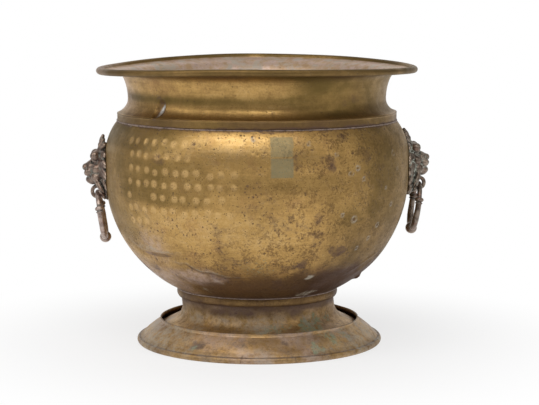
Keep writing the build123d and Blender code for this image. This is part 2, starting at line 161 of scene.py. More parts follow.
def strongest(*parts):
    """The largest of several values, point by point."""
    out = parts[0]
    for part in parts[1:]:
        out = np.maximum(out, part)
    return out


class Turned:
    """Points of a section turned round the axis: azimuth in degrees as seen (-90 is nearest the viewer), and
    radius and height in mm. A foot piece slides to the right a little as it goes down."""

    def __init__(self, outline, columns, slide=0.0):
        self.slide = slide
        self.outline = np.asarray(outline, float)
        self.columns = columns
        step = np.roll(self.outline, -1, 0) - np.roll(self.outline, 1, 0)
        step /= np.maximum(np.hypot(*step.T), 1e-9)[:, None]
        angle = np.arange(columns) * 360.0 / columns - 180.0
        shape = (len(self.outline), columns)
        self.azimuth = np.broadcast_to(angle, shape).copy()
        self.radius = np.broadcast_to(self.outline[:, :1], shape).copy()
        self.height = np.broadcast_to(self.outline[:, 1:], shape).copy()
        self.normal = np.stack([step[:, 1], -step[:, 0]], -1)[:, None, :]     # radius and height
        self.base_radius = self.radius.copy()
        self.base_height = self.height.copy()

    def points(self):
        turn = np.radians(self.azimuth + TURN)
        shift = self.slide * smoothstep(58, 26, self.height)
        x = self.radius * np.cos(turn) + shift * math.cos(math.radians(TURN))
        y = self.radius * np.sin(turn) + shift * math.sin(math.radians(TURN))
        return np.stack([x, y, self.height], -1)

    def skin(self, name, material, slot, node):
        """The turned surface as a piece of the pot that stands in for one CAD node."""
        faces = grid_faces(len(self.outline), self.columns, True)
        return make_mesh(name, self.points(), faces, material, "pot", [node])

    def sides(self, first, last):
        """1 on the outline's points from first up to last, which face outwards, and -1 on the others."""
        row = np.arange(len(self.outline))[:, None]
        return np.where((row >= first) & (row < last), 1.0, -1.0)

    def left_part(self, full, none):
        """1 round the left side, fading to 0 with the angle from it, in front and behind alike."""
        return 1 - smoothstep(full, none, np.abs(angle_gap(self.azimuth, 180.0)))

    def right_part(self, none, full):
        """0 up to one azimuth in front, 1 past the other, and 0 again round the back."""
        return smoothstep(none, full, self.azimuth) * (1 - smoothstep(100, 160, self.azimuth))

    def push(self, amount):
        """Moves the surface along its section's normal, outwards if positive."""
        self.radius = self.radius + amount * self.normal[..., 0]
        self.height = self.height + amount * self.normal[..., 1]

    def spot(self, azimuth, height, half_width, half_height, rough=0.3, seed=1, turn=0.0, soft=0.35):
        """From 0 to 1, a patch on the surface with uneven edges. Sizes in mm."""
        across = np.radians(angle_gap(self.azimuth, azimuth)) * self.base_radius
        up = self.base_height - height
        c, s = math.cos(math.radians(turn)), math.sin(math.radians(turn))
        u, v = (across * c + up * s) / half_width, (-across * s + up * c) / half_height
        gap = np.hypot(u, v)
        near = gap < 2.2
        out = np.zeros_like(gap)
        if near.any():
            p = self.points()[near]
            wobble = layered(p, 0.9 * min(half_width, half_height), seed, 2)
            out[near] = 1 - smoothstep(1 - soft, 1 + soft, gap[near] + rough * wobble)
        return out

    def spots(self, *rows):
        """The strongest of several patches. Each row is a strength and then what spot() takes."""
        return strongest(*(strength * self.spot(*place) for strength, *place in rows))

    def stains(self, rough, soft, *rows):
        """The strongest of several patches alike in their edges. Each row is azimuth, height, half width,
        half height, strength and seed."""
        return self.spots(*((row[4], *row[:4], rough, row[5], 0, soft) for row in rows))

    def round_mark(self, azimuth, height, size):
        """The part of the grid near a place, and there the distance from it in units of size."""
        gap = angle_gap(self.azimuth[0], azimuth)
        columns = np.abs(gap) < 4
        index = np.ix_(np.abs(self.outline[:, 1] - height) < 9, columns)
        across = np.radians(gap[columns])[None, :] * self.base_radius[index]
        return index, np.hypot(across, self.base_height[index] - height) / size


def from_line(turned, outside, path):
    """Distance in mm of each point above a line drawn on the surface through (azimuth, height) places, and a
    strength that fades to nothing at the line's ends and away from it."""
    run = np.concatenate([[0], np.cumsum(np.hypot(*(outside[1:] - outside[:-1]).T))])
    along = np.full(len(turned.outline), -1e4)
    along[: len(outside)] = run
    best = np.full(turned.azimuth.shape, 1e4)
    strength = np.zeros_like(best)
    rise = outside[:, 1] > outside[0, 1] + 0.01
    radii, heights = outside[rise].T
    marks = [(azimuth, np.interp(z, heights, run[rise]), np.interp(z, heights, radii)) for azimuth, z in path]
    for k, (a, b) in enumerate(zip(marks[:-1], marks[1:])):
        u = np.radians(angle_gap(turned.azimuth, a[0])) * (a[2] + b[2]) / 2
        v = along[:, None] - a[1]
        bu, bv = math.radians(b[0] - a[0]) * (a[2] + b[2]) / 2, b[1] - a[1]
        length = math.hypot(bu, bv)
        t = np.clip((u * bu + v * bv) / length**2, 0, 1)
        gap = np.hypot(u - t * bu, v - t * bv)
        above = np.where((v * bu - u * bv) * np.sign(bu or 1) > 0, 1.0, -1.0)
        nearer = gap < np.abs(best)
        best = np.where(nearer, gap * above, best)
        share = np.clip((k + t) / (len(marks) - 1), 0.02, 0.98)
        strength = np.where(nearer, np.sin(np.pi * share) ** 0.6, strength)
    return best, strength * (np.abs(best) < 30)


def arc_points(centre, radius, start, end, step=1.0):
    """Points along an arc, about step mm apart."""
    count = max(3, int(abs(math.radians(end - start)) * radius / step) + 1)
    angle = np.radians(np.linspace(start, end, count))
    return np.stack([centre[0] + radius * np.cos(angle), centre[1] + radius * np.sin(angle)], -1)


def line_points(a, b, step=1.0):
    count = max(2, int(math.dist(a, b) / step) + 1)
    return np.linspace(a, b, count)


def joined(*runs):
    """One polyline from several, with no repeated points."""
    points = np.concatenate([np.asarray(run, float) for run in runs])
    keep = np.concatenate([[True], np.hypot(*(points[1:] - points[:-1]).T) > 0.02])
    return points[keep]


def inset(outline, amount):
    """An open section line moved to its left by an amount."""
    step = np.gradient(outline, axis=0)
    step /= np.hypot(*step.T)[:, None]
    return outline + amount * np.stack([-step[:, 1], step[:, 0]], -1)


# ------------------------------------------------------------------ materials
class Nodes:
    """Short calls for building the nodes of a material, or of the world."""

    def __init__(self, name, world=None):
        self.material = world or bpy.data.materials.new(name)
        self.material.use_nodes = True
        self.tree = self.material.node_tree
        self.tree.nodes.clear()
        self.out = self.add("ShaderNodeOutputWorld" if world else "ShaderNodeOutputMaterial")
        self.where = self.add("ShaderNodeTexCoord").outputs["Generated" if world else "Object"]
        if not world:
            self.shader = self.add("ShaderNodeBsdfPrincipled")
            self.link(self.shader.outputs[0], self.out.inputs[0])

    def add(self, kind, **settings):
        node = self.tree.nodes.new(kind)
        for key, value in settings.items():
            setattr(node, key, value)
        return node

    def link(self, a, b):
        self.tree.links.new(a, b)

    def set(self, socket, value):
        if isinstance(value, bpy.types.NodeSocket):
            self.link(value, socket)
        else:
            socket.default_value = value

    def math(self, operation, a, b=0.0, clamp=False):
        node = self.add("ShaderNodeMath", operation=operation, use_clamp=clamp)
        self.set(node.inputs[0], a)
        self.set(node.inputs[1], b)
        return node.outputs[0]

    def plus(self, a, b, clamp=False):
        return self.math("ADD", a, b, clamp)

    def minus(self, a, b, clamp=False):
        return self.math("SUBTRACT", a, b, clamp)

    def times(self, a, b, clamp=False):
        return self.math("MULTIPLY", a, b, clamp)

    def swing(self, value, amount):
        """How far a noise is from its middle, times an amount."""
        return self.times(self.minus(value, 0.5), amount)

    def total(self, first, *rest, clamp=False):
        """A sum, kept between 0 and 1 at its end if asked."""
        for part in rest[:-1]:
            first = self.plus(first, part)
        return self.plus(first, rest[-1], clamp)

    def stretched(self, scale):
        node = self.add("ShaderNodeMapping")
        self.link(self.where, node.inputs[0])
        node.inputs["Scale"].default_value = scale
        return node.outputs[0]

    def noise(self, scale, detail=4.0, rough=0.55, where=None, warp=0.0):
        node = self.add("ShaderNodeTexNoise")
        self.link(where or self.where, node.inputs["Vector"])
        node.inputs["Scale"].default_value = scale
        node.inputs["Detail"].default_value = detail
        node.inputs["Roughness"].default_value = rough
        node.inputs["Distortion"].default_value = warp
        return node.outputs["Fac"]

    def cells(self, scale):
        """The distance to the nearest of many scattered points, and a random number of that point's own."""
        node = self.add("ShaderNodeTexVoronoi", feature="F1")
        self.link(self.where, node.inputs["Vector"])
        node.inputs["Scale"].default_value = scale
        split = self.add("ShaderNodeSeparateColor")
        self.link(node.outputs["Color"], split.inputs[0])
        return node.outputs["Distance"], split.outputs[0]

    def attribute(self, name):
        node = self.add("ShaderNodeAttribute", attribute_name=name)
        return node.outputs["Fac"]

    def between(self, value, low, high, to_low=0.0, to_high=1.0):
        node = self.add("ShaderNodeMapRange", interpolation_type="SMOOTHSTEP")
        self.set(node.inputs["Value"], value)
        for key, number in (("From Min", low), ("From Max", high), ("To Min", to_low), ("To Max", to_high)):
            node.inputs[key].default_value = number
        return node.outputs["Result"]

    def ramp(self, value, *stops):
        node = self.add("ShaderNodeValToRGB")
        self.link(value, node.inputs[0])
        ramp = node.color_ramp
        while len(ramp.elements) < len(stops):
            ramp.elements.new(0.5)
        for element, (place, colour) in zip(ramp.elements, stops):
            element.position = place
            element.color = (*colour, 1)
        return node.outputs["Color"]

    def mix(self, factor, a, b):
        node = self.add("ShaderNodeMix", data_type="RGBA", blend_type="MIX", clamp_factor=True)
        self.set(node.inputs[0], factor)
        for socket, value in ((node.inputs[6], a), (node.inputs[7], b)):
            self.set(socket, value if isinstance(value, bpy.types.NodeSocket) else (*value, 1))
        return node.outputs[2]

    def bump(self, height, distance, strength=1.0, below=None):
        node = self.add("ShaderNodeBump")
        node.inputs["Strength"].default_value = strength
        node.inputs["Distance"].default_value = distance
        self.link(height, node.inputs["Height"])
        if below is not None:
            self.link(below, node.inputs["Normal"])
        return node.outputs["Normal"]

    def surface(self, colour, metallic, roughness, normal):
        """Feeds the shader, and gives the material."""
        for key, value in (("Base Color", colour), ("Metallic", metallic),
                           ("Roughness", roughness), ("Normal", normal)):
            self.set(self.shader.inputs[key], value)
        return self.material


GOLD = (0.56, 0.345, 0.118)
PALE_GOLD = (0.66, 0.435, 0.185)
OLD_GOLD = (0.44, 0.27, 0.095)
BROWN_GOLD = (0.32, 0.19, 0.066)
OLIVE = (0.165, 0.108, 0.033)
COPPER = (0.42, 0.225, 0.10)
SPOT_BROWN = (0.16, 0.088, 0.040)
FRECKLE = (0.065, 0.036, 0.022)
SPECK = (0.070, 0.040, 0.024)
BARE_METAL = (0.75, 0.74, 0.72)
RUBBED_CAST = (0.58, 0.45, 0.35)
HOLLOW_SHADE = (0.022, 0.014, 0.011)
RUST = (0.24, 0.12, 0.085)
PALE_DUST = (0.52, 0.545, 0.47)
RED_BROWN = (0.10, 0.052, 0.030)
PURPLE = (0.115, 0.066, 0.050)
GREY_PINK = (0.58, 0.44, 0.39)
GREY_GREEN = (0.25, 0.225, 0.125)
VERDIGRIS = (0.27, 0.31, 0.20)
DUST = (0.40, 0.36, 0.29)


def brass(name, blotch=22.0, mottle=120.0, rough=(0.27, 0.50), lathe_lines=0.5, tone=0.0, pits=1.0):
    """Old brass: gold where rubbed, brown and olive where dulled, pitted, tarnished where a piece is painted. The
    same paints also carry painted shade, painted dark reflections and painted bright reflections.
    """
    n = Nodes(name)
    big = n.noise(blotch, 5, 0.6, warp=0.6)
    middle = n.noise(mottle, 6, 0.66)
    fine = n.noise(mottle * 6, 4, 0.65)
    rings = n.noise(60.0, 3, 0.6, n.stretched((0.25, 0.25, 14.0)))
    hairs = n.noise(420.0, 3, 0.6, n.stretched((0.07, 0.07, 1.0)))
    grain = n.plus(n.swing(middle, 0.62), n.swing(fine, 0.40))
    streaks = n.plus(n.swing(hairs, 0.26), n.swing(rings, 0.08))
    # the rub paint lightens the tone: real rubbing, and painted bright reflections on the bowl and neck
    tonal = n.total(0.355, n.times(big, 0.34), grain, streaks, n.times(n.attribute("rub"), 0.16), tone)
    colour = n.ramp(tonal, (0.28, BROWN_GOLD), (0.42, OLD_GOLD), (0.55, GOLD), (0.78, PALE_GOLD))
    copper = n.between(n.noise(blotch * 1.7, 5, 0.65, warp=0.4), 0.52, 0.70, 0, 0.35)
    colour = n.mix(copper, colour, COPPER)
    spotted = n.plus(n.times(n.noise(340.0, 5, 0.72, warp=0.3), 0.62), n.times(n.noise(75.0, 3, 0.6), 0.38))
    spotted = n.times(n.between(spotted, 0.475, 0.59), n.attribute("spots"))
    colour = n.mix(n.times(spotted, 0.70), colour, SPOT_BROWN)
    # the dull paint darkens towards olive: real dullness, and painted dark reflections and painted shade on the
    # bowl and neck
    dull = n.times(n.attribute("dull"), n.between(big, 0.30, 0.62, 1.0, 0.66))
    colour = n.mix(n.times(dull, 0.88, True), colour, OLIVE)
    mark = n.times(n.attribute("mark"), n.between(fine, 0.3, 0.6, 0.5, 0.95))
    colour = n.mix(mark, colour, PALE_GOLD)
    red, pink = n.attribute("red"), n.attribute("pink")
    colour = n.mix(red, colour, RED_BROWN)
    colour = n.mix(n.times(pink, n.between(middle, 0.34, 0.60, 0.35, 1)), colour, GREY_PINK)
    # tarnish and painted shade: soft edged and broken up by the mottling
    broken = n.plus(n.times(n.attribute("tarnish"), 0.95), n.times(grain, 2.3))
    tarnish = n.between(broken, 0.26, 1.02, 0, 0.86)
    colour = n.mix(tarnish, colour, n.mix(n.between(big, 0.4, 0.6), PURPLE, RED_BROWN))
    # freckles of corrosion, and smaller specks
    gap, chance = n.cells(260.0)
    ragged = n.plus(gap, n.swing(n.noise(900.0, 3, 0.7), 0.42))
    freckle = n.times(n.between(ragged, 0.12, 0.34, 1, 0), n.between(chance, 0.52, 0.60))
    freckle = n.times(n.times(freckle, n.between(n.noise(38.0, 3, 0.6), 0.42, 0.60)), pits)
    gap, chance = n.cells(620.0)
    speck = n.times(n.between(gap, 0.15, 0.42, 1, 0), n.between(chance, 0.66, 0.74))
    speck = n.times(speck, n.between(middle, 0.38, 0.6, 0, 0.8 * pits))
    colour = n.mix(n.times(freckle, 0.6), colour, FRECKLE)
    colour = n.mix(speck, colour, SPECK)
    patch = n.times(n.attribute("patch"), n.between(fine, 0.3, 0.62, 0.5, 0.85))
    colour = n.mix(patch, colour, GREY_GREEN)
    green = n.plus(n.attribute("green"), n.swing(n.noise(mottle * 2.2, 6, 0.8), 4.2))
    green = n.between(green, 0.52, 1.08, 0, 0.85)
    colour = n.mix(green, colour, VERDIGRIS)
    dust = n.times(n.attribute("dust"), n.between(middle, 0.36, 0.62, 0.1, 1))
    colour = n.mix(dust, colour, DUST)
    silver = n.attribute("silver")
    colour = n.mix(silver, colour, BARE_METAL)
    cover = n.total(n.times(tarnish, 0.35), n.times(green, 0.8), n.times(dust, 0.8), n.times(pink, 0.45),
                    n.times(patch, 0.6), n.times(red, 0.25), n.times(freckle, 0.5), clamp=True)
    gloss = n.total(n.between(tonal, 0.30, 0.68, rough[1], rough[0]), n.times(n.plus(dull, spotted), 0.10),
                    n.swing(fine, 0.18), n.times(cover, 0.18), clamp=True)
    skin = n.bump(rings, 0.00012, lathe_lines)
    skin = n.bump(n.plus(middle, n.times(fine, 0.35)), 0.0003, 0.55, skin)
    skin = n.bump(n.times(n.plus(freckle, n.times(speck, 0.6)), -1.0), 0.00035, 0.8, skin)
    skin = n.bump(n.times(green, n.noise(900.0, 3, 0.7)), 0.0006, 0.8, skin)
    metallic = n.minus(0.95, n.times(cover, 0.75), True)
    return n.surface(colour, metallic, n.minus(gloss, n.times(silver, 0.15), True), skin)


def cast_brass(name, high, low, dusting):
    """Dark cast brass: rubbed on the high points, painted shade and pale dust in the hollows."""
    n = Nodes(name)
    cavity, high_point = n.attribute("cavity"), n.attribute("high")
    lumps = n.noise(160.0, 5, 0.65)
    body = n.mix(n.between(lumps, 0.36, 0.66), low, high)
    edge = n.times(high_point, n.between(lumps, 0.3, 0.6, 0.35, 1))
    body = n.mix(n.times(edge, 0.7), body, RUBBED_CAST)
    # painted shade: near black in the hollows
    body = n.mix(n.times(cavity, 0.92), body, HOLLOW_SHADE)
    rust = n.between(n.noise(90.0, 4, 0.65, warp=0.5), 0.52, 0.68, 0, 0.5)
    body = n.mix(rust, body, RUST)
    dust = n.times(n.between(n.noise(210.0, 5, 0.7), 0.42, 0.60), dusting)
    dust = n.times(dust, n.minus(1.0, n.times(high_point, 0.8), True))
    dust = n.times(dust, n.plus(0.12, cavity), True)
    body = n.mix(dust, body, PALE_DUST)
    metallic = n.minus(0.85, n.plus(n.times(cavity, 0.5), dust), True)
    gloss = n.between(lumps, 0.3, 0.7, 0.30, 0.46)
    gloss = n.plus(gloss, n.times(n.plus(cavity, dust), 0.25), True)
    gloss = n.minus(gloss, n.times(edge, 0.08), True)
    skin = n.bump(n.noise(1100.0, 3, 0.6), 0.00016, 0.7, n.bump(lumps, 0.0005, 0.5))
    return n.surface(body, metallic, gloss, skin)


def plain_metal(name, light, dark, rough, metallic, scale=220.0):
    """Solder, wire and fixings: two tones, uneven gloss and a little relief."""
    n = Nodes(name)
    lumps = n.noise(scale, 5, 0.65, warp=0.3)
    fine = n.noise(scale * 6, 3, 0.6)
    mixed = n.plus(n.times(lumps, 0.75), n.times(fine, 0.25))
    pale = tuple(1.25 * part for part in light)
    return n.surface(n.ramp(mixed, (0.36, dark), (0.52, light), (0.7, pale)),
                     n.between(lumps, 0.3, 0.6, metallic * 0.6, metallic),
                     n.between(mixed, 0.3, 0.7, rough + 0.12, rough - 0.08),
                     n.bump(fine, 0.0003, 0.6, n.bump(lumps, 0.0006, 0.6)))


BOWL_BRASS = brass("bowl_brass", mottle=150.0, rough=(0.38, 0.54), pits=1.2)
NECK_BRASS = brass("neck_brass", blotch=16.0, mottle=90.0, rough=(0.33, 0.47), lathe_lines=0.9,
                   tone=-0.05, pits=0.55)
FOOT_BRASS = brass("foot_brass", blotch=26.0, mottle=130.0, rough=(0.40, 0.58), lathe_lines=0.8,
                   tone=-0.03, pits=0.7)
LION_BRASS = {"left": cast_brass("lion_cast_left", (0.36, 0.265, 0.205), (0.15, 0.105, 0.085), 0.4),
              "right": cast_brass("lion_cast_right", (0.31, 0.25, 0.20), (0.11, 0.075, 0.055), 1.0)}
RING_BRASS = {"left": cast_brass("ring_cast_left", (0.56, 0.46, 0.415), (0.25, 0.185, 0.165), 0.3),
              "right": cast_brass("ring_cast_right", (0.18, 0.145, 0.12), (0.055, 0.042, 0.035), 0.35)}
SOLDER = plain_metal("grey_solder", (0.30, 0.225, 0.185), (0.115, 0.08, 0.065), 0.58, 0.6)
IRON = plain_metal("iron_wire", (0.16, 0.12, 0.10), (0.07, 0.04, 0.03), 0.6, 0.6)
STEEL = plain_metal("fixing_steel", (0.42, 0.39, 0.35), (0.16, 0.11, 0.08), 0.42, 0.9, 300.0)

# ------------------------------------------------------------------ sizes that the frame gives, in mm
SHEET = 1.2
BEAD = 3.5


def node_box(name):
    low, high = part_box(name)
    return np.array(low) / MM, np.array(high) / MM


bowl_low, bowl_high = node_box("bowl")
neck_low, neck_high = node_box("neck")
spool_high = node_box("foot_spool")[1]
base_high = node_box("base_ring")[1]
collar_low, collar_high = node_box("foot_collar")
BELLY = bowl_high[0]
BOTTOM = bowl_low[2]
MOUTH = bowl_high[2]
FLAT = 27.0
LOWER_ARC = BELLY - FLAT
LOWER = (FLAT, BOTTOM + LOWER_ARC)
SHOULDER_ARC = 60.0
SHOULDER = (BELLY - SHOULDER_ARC, LOWER[1] + 21.0)


def belly_radius(height):
    """Outside radius of the bowl at a height."""
    height = np.asarray(height, float)
    low = LOWER[0] + np.sqrt(np.maximum(LOWER_ARC**2 - (LOWER[1] - height) ** 2, 0))
    high = SHOULDER[0] + np.sqrt(np.maximum(SHOULDER_ARC**2 - (height - SHOULDER[1]) ** 2, 0))
    return np.where(height < LOWER[1], low, np.where(height > SHOULDER[1], high, BELLY))


# ------------------------------------------------------------------ bowl
def punched_rows(rng):
    """Centres of the punched dimples: rows round the left side, set half a step apart."""
    marks = []
    spans = [(231.0, -117, 100), (217.0, -113, 105), (201.3, -98, 108), (188.0, -96, 112),
             (174.7, -103, 116), (160.5, -97, 120), (147.5, -126, 128)]
    for row, (height, right_end, back_end) in enumerate(spans):
        step = 4.4 * 166.0 / float(belly_radius(height))
        azimuth = right_end - (step / 2 if row % 2 else 0.0)
        while azimuth > right_end - 360 + (back_end - right_end) % 360:
            from_mask = abs(angle_gap(azimuth, LEFT_MASK))
            fade = min(1.0, 0.72 + 0.1 * (right_end - azimuth) / step)
            if azimuth < -146:
                fade *= 0.45
            if from_mask > 13 and not -163 < azimuth < -146 and rng.random() > 0.07:
                marks.append((azimuth + rng.normal(0, 0.35), height + rng.normal(0, 0.7),
                              rng.uniform(3.3, 4.1), fade * rng.uniform(0.75, 1.1)))
            azimuth -= step
    return marks


def make_bowl():
    mouth_angle = math.degrees(math.asin((MOUTH - SHOULDER[1]) / SHOULDER_ARC))
    outside = joined(
        line_points((0.0, BOTTOM), (FLAT, BOTTOM), 3.0),
        arc_points(LOWER, LOWER_ARC, -90, -45, 1.8),
        arc_points(LOWER, LOWER_ARC, -45, 0, 1.25),
        line_points((BELLY, LOWER[1]), (BELLY, SHOULDER[1]), 1.25),
        arc_points(SHOULDER, SHOULDER_ARC, 0, mouth_angle - 0.1, 1.3),
    )
    inside = joined(
        arc_points(SHOULDER, SHOULDER_ARC - SHEET, mouth_angle - 0.1, 0, 3.5),
        line_points((BELLY - SHEET, SHOULDER[1]), (BELLY - SHEET, LOWER[1]), 3.5),
        arc_points(LOWER, LOWER_ARC - SHEET, 0, -90, 4.0),
        line_points((FLAT, BOTTOM + SHEET), (0.0, BOTTOM + SHEET), 6.0),
    )
    turned = Turned(np.concatenate([outside, inside]), 720)
    turned.normal[0], turned.normal[-1] = (0, -1), (0, 1)
    outwards = turned.sides(0, len(outside))
    outwards_only = (outwards > 0).astype(float)
    height, azimuth = turned.base_height, turned.azimuth
    p = turned.points()
    free = smoothstep(52, 75, height) * (1 - smoothstep(236, 244, height))    # leaves the joints alone
    for mask in (LEFT_MASK, RIGHT_MASK):
        free = free * (1 - 0.9 * smoothstep(13, 8, np.abs(angle_gap(azimuth, mask))))
    push = free * (0.35 * noise(p, 62, 3) + 0.22 * noise(p, 27, 4))
    low = 1 - smoothstep(110, 170, height)
    push += free * low * (0.55 * noise(p, 38, 5) + 0.25 * noise(p, 17, 6))
    small = 1 - smoothstep(90, 150, height)
    push += free * small * 0.12 * noise(p, 8, 7)
    # creases and dents, low on the left
    crest_paint = np.zeros_like(push)
    shade_paint = np.zeros_like(push)
    creases = (
        ([(-145, 160), (-139.5, 155.5), (-135.8, 146.5), (-132, 138)], -0.9, 5.0, 0.35, 4.0, 7.0, 0.0, 0.5),
        ([(-153, 121), (-144.8, 115), (-136.2, 114.5), (-129.5, 115), (-122, 116)],
         1.1, 2.6, 1.6, 5.0, -6.0, 0.55, 0.55),
        ([(-131, 106), (-125, 103.5), (-121.5, 105), (-120, 102.5), (-117.8, 98), (-115.2, 95.5), (-111.2, 96),
          (-107.8, 93.5), (-103.8, 90.5), (-97.5, 90), (-90, 92)], 0.75, 1.5, 0.85, 2.2, -3.2, 0.8, 0.85),
        ([(-136, 85.5), (-126, 87), (-118.5, 82.5), (-110.2, 84), (-100, 83)],
         0.6, 3.0, 0.6, 4.5, -6.0, 0.15, 0.3),
        ([(-111.5, 88), (-106, 80)], 0.45, 0.9, 0.4, 1.3, -1.7, 1.0, 0.3),
        ([(-120.5, 72.5), (-118.6, 67)], 0.4, 0.8, 0.4, 1.0, -1.4, 1.0, 0.4),
    )
    for path, lift, width, sink, sink_width, sink_gap, pale, dark in creases:
        gap, strength = from_line(turned, outside, path)
        crest = np.exp(-((gap / width) ** 2)) * strength
        trough = np.exp(-(((gap - sink_gap) / sink_width) ** 2)) * strength
        push += (lift * crest - sink * trough) * outwards_only
        crest_paint = np.maximum(crest_paint, pale * np.exp(-((gap / (0.55 * width)) ** 2)) * strength)
        shade_paint = np.maximum(shade_paint, dark * trough)
    # dents on the right
    for lift, *place in ((-2.0, -47.8, 80, 19, 8, 0.15, 11, 12, 0.8), (0.9, -61, 92, 12, 4.5, 0.2, 12, 20, 0.7),
                         (-0.8, -66, 78, 14, 7, 0.2, 13, -8, 0.8), (-1.2, -30, 93, 16, 5, 0.15, 14, 30, 0.7),
                         (0.7, -30, 100, 16, 3.0, 0.15, 15, 30, 0.7), (-0.9, -95, 84, 22, 6, 0.2, 16, 3, 0.8)):
        push += lift * turned.spot(*place)
    nub = turned.spot(-16, 77, 3.4, 2.4, 0.2, 17, 0, 0.6)
    push += 2.2 * nub
    # dents of its own on the back
    for lift, *place in ((-1.8, 70, 95, 26, 10, 0.2, 70, 8, 0.8), (-1.1, 35, 120, 15, 12, 0.2, 35, 8, 0.8),
                         (-1.6, 118, 108, 20, 9, 0.2, 118, 8, 0.8), (-0.8, 95, 210, 12, 9, 0.2, 95, 8, 0.8)):
        push += lift * turned.spot(*place)
    # punched dimples
    mark_colour = np.zeros_like(push)
    for centre, middle, size, depth in punched_rows(np.random.default_rng(41)):
        index, distance = turned.round_mark(centre, middle, size)
        dish = np.clip(1 - distance**2, 0, 1) ** 1.2
        lip = np.exp(-((distance - 1.12) / 0.22) ** 2)
        push[index] += depth * (-0.52 * dish + 0.10 * lip)
        mark_colour[index] = np.maximum(mark_colour[index], depth * (1 - smoothstep(0.7, 1.25, distance)))
    # small pits, mostly on the right; the first ones have a raised edge
    pit_colour = np.zeros_like(push)
    pit_edge = np.zeros_like(push)
    ring_pits = [(-54, 199.5, 1.9), (-51, 205, 1.9), (-60, 220, 1.5), (-51.2, 151.5, 2.4), (-29.5, 216, 1.9),
                 (-37, 141.5, 1.8), (-30, 162, 1.7), (-40, 128, 1.6), (-57, 157, 1.5), (-91, 237, 1.4),
                 (-35, 181, 1.3), (-45, 118, 1.5), (-26, 199, 1.3), (-70.5, 232, 1.4), (-48, 193, 1.6)]
    holes = [(-93, 190.5, 2.2), (-91, 179.5, 1.9), (-84.8, 178.5, 1.6), (-113, 231.5, 1.9), (-110.5, 229, 1.3),
             (-89.5, 222, 1.4), (-87.5, 219, 1.2), (-91, 224.5, 1.2), (-86.8, 223.5, 1.2), (-78, 216, 1.7),
             (-76.5, 213.5, 1.3), (-69.5, 226, 1.9), (-52.8, 220.5, 2.1), (-47, 225, 1.9), (-56, 240, 2.3),
             (-139.3, 103.5, 1.9), (-120.5, 109.5, 1.7), (-117, 136, 1.5), (-104, 190, 1.2), (-127.5, 217, 1.6),
             (-125.8, 213, 1.3), (-66, 170, 1.4), (-62, 176, 1.2), (-88, 168, 1.2), (-98, 152, 1.5)]
    for centre, middle, size in ring_pits + holes:
        index, distance = turned.round_mark(centre, middle, size)
        push[index] -= 0.5 * np.clip(1 - distance**2, 0, 1)
        pit_colour[index] = np.maximum(pit_colour[index], 1 - smoothstep(0.55, 1.1, distance))
        if (centre, middle, size) in ring_pits:
            push[index] += 0.16 * np.exp(-((distance - 1.25) / 0.3) ** 2)
            pit_edge[index] = np.maximum(pit_edge[index], np.exp(-((distance - 1.35) / 0.35) ** 2))
    turned.push(np.where(height > 53, push, 0) * outwards)
    points = turned.points()
    rows, columns = points.shape[:2]
    ends = [[points[end, 0] * (0, 0, 1)] for end in (0, -1)]
    flat = np.concatenate([ends[0], points[1:-1].reshape(-1, 3), ends[1]])
    faces = capped_faces(rows - 2, columns)
    bowl = make_mesh("bowl_skin", flat, faces, BOWL_BRASS, "pot", ["bowl"])

    # ---- tarnish and rubbing, with painted shade and painted reflections
    shown = outwards > 0
    tarnish = turned.stains(
        0.75, 0.5, (-64, 212, 8, 8, 0.62, 21), (-62, 207, 4.5, 5, 0.85, 22), (-67.5, 150, 5, 14, 0.6, 23),
        (-54.5, 118, 16, 7, 0.8, 24), (-70.5, 106, 6, 6, 0.9, 25), (-75.5, 102, 9, 3.5, 0.75, 26),
        (-66, 133, 7, 12, 0.6, 27), (-47, 216, 9, 9, 0.6, 28), (-56, 238, 12, 7, 0.6, 29),
        (-90, 168, 26, 16, 0.42, 30), (-80, 150, 30, 10, 0.5, 31), (-104, 128, 9, 22, 0.5, 32),
        (-98, 108, 16, 9, 0.55, 33), (-76, 213, 6, 7, 0.8, 34), (-128, 214, 12, 6, 0.6, 35),
        (-49, 194, 12, 16, 0.45, 36), (-40, 180, 18, 34, 0.35, 37), (-62, 186, 15, 20, 0.35, 38),
        (-112, 228, 7, 6, 0.45, 39), (60, 190, 22, 26, 0.8, 40), (110, 140, 30, 16, 0.6, 41),
        (25, 140, 16, 22, 0.7, 42), (85, 225, 26, 9, 0.6, 43), (140, 118, 22, 14, 0.7, 44))
    lower = (1 - smoothstep(82, 110, height + 8 * noise(p, 22, 50) + 5 * noise(p, 9, 76)))
    red = 0.82 * lower * (1 - 0.55 * turned.left_part(46, 64))
    red += 0.3 * turned.right_part(-75, -45) * (1 - smoothstep(110, 190, height))
    low_band = smoothstep(62, 80, height) * (1 - smoothstep(92, 108, height))
    seam = smoothstep(241.0, 244.5, height + 1.6 * noise(p, 9, 52))
    # painted shade: darker at the very bottom of the bowl, just above the foot
    bottom_shade = 1 - smoothstep(60, 68, height + 2 * noise(p, 10, 53))
    # the tarnish paint here also carries painted shade: the crease troughs and the bottom of the bowl
    tarnish = strongest(
        tarnish, 0.8 * turned.spot(-47.8, 80, 21, 9, 0.3, 51, 12, 0.4), 0.9 * pit_colour, shade_paint,
        0.75 * smoothstep(0.0, 0.5, noise(p, 17, 77)) * low_band, 0.7 * nub, 0.8 * seam, 0.9 * bottom_shade)
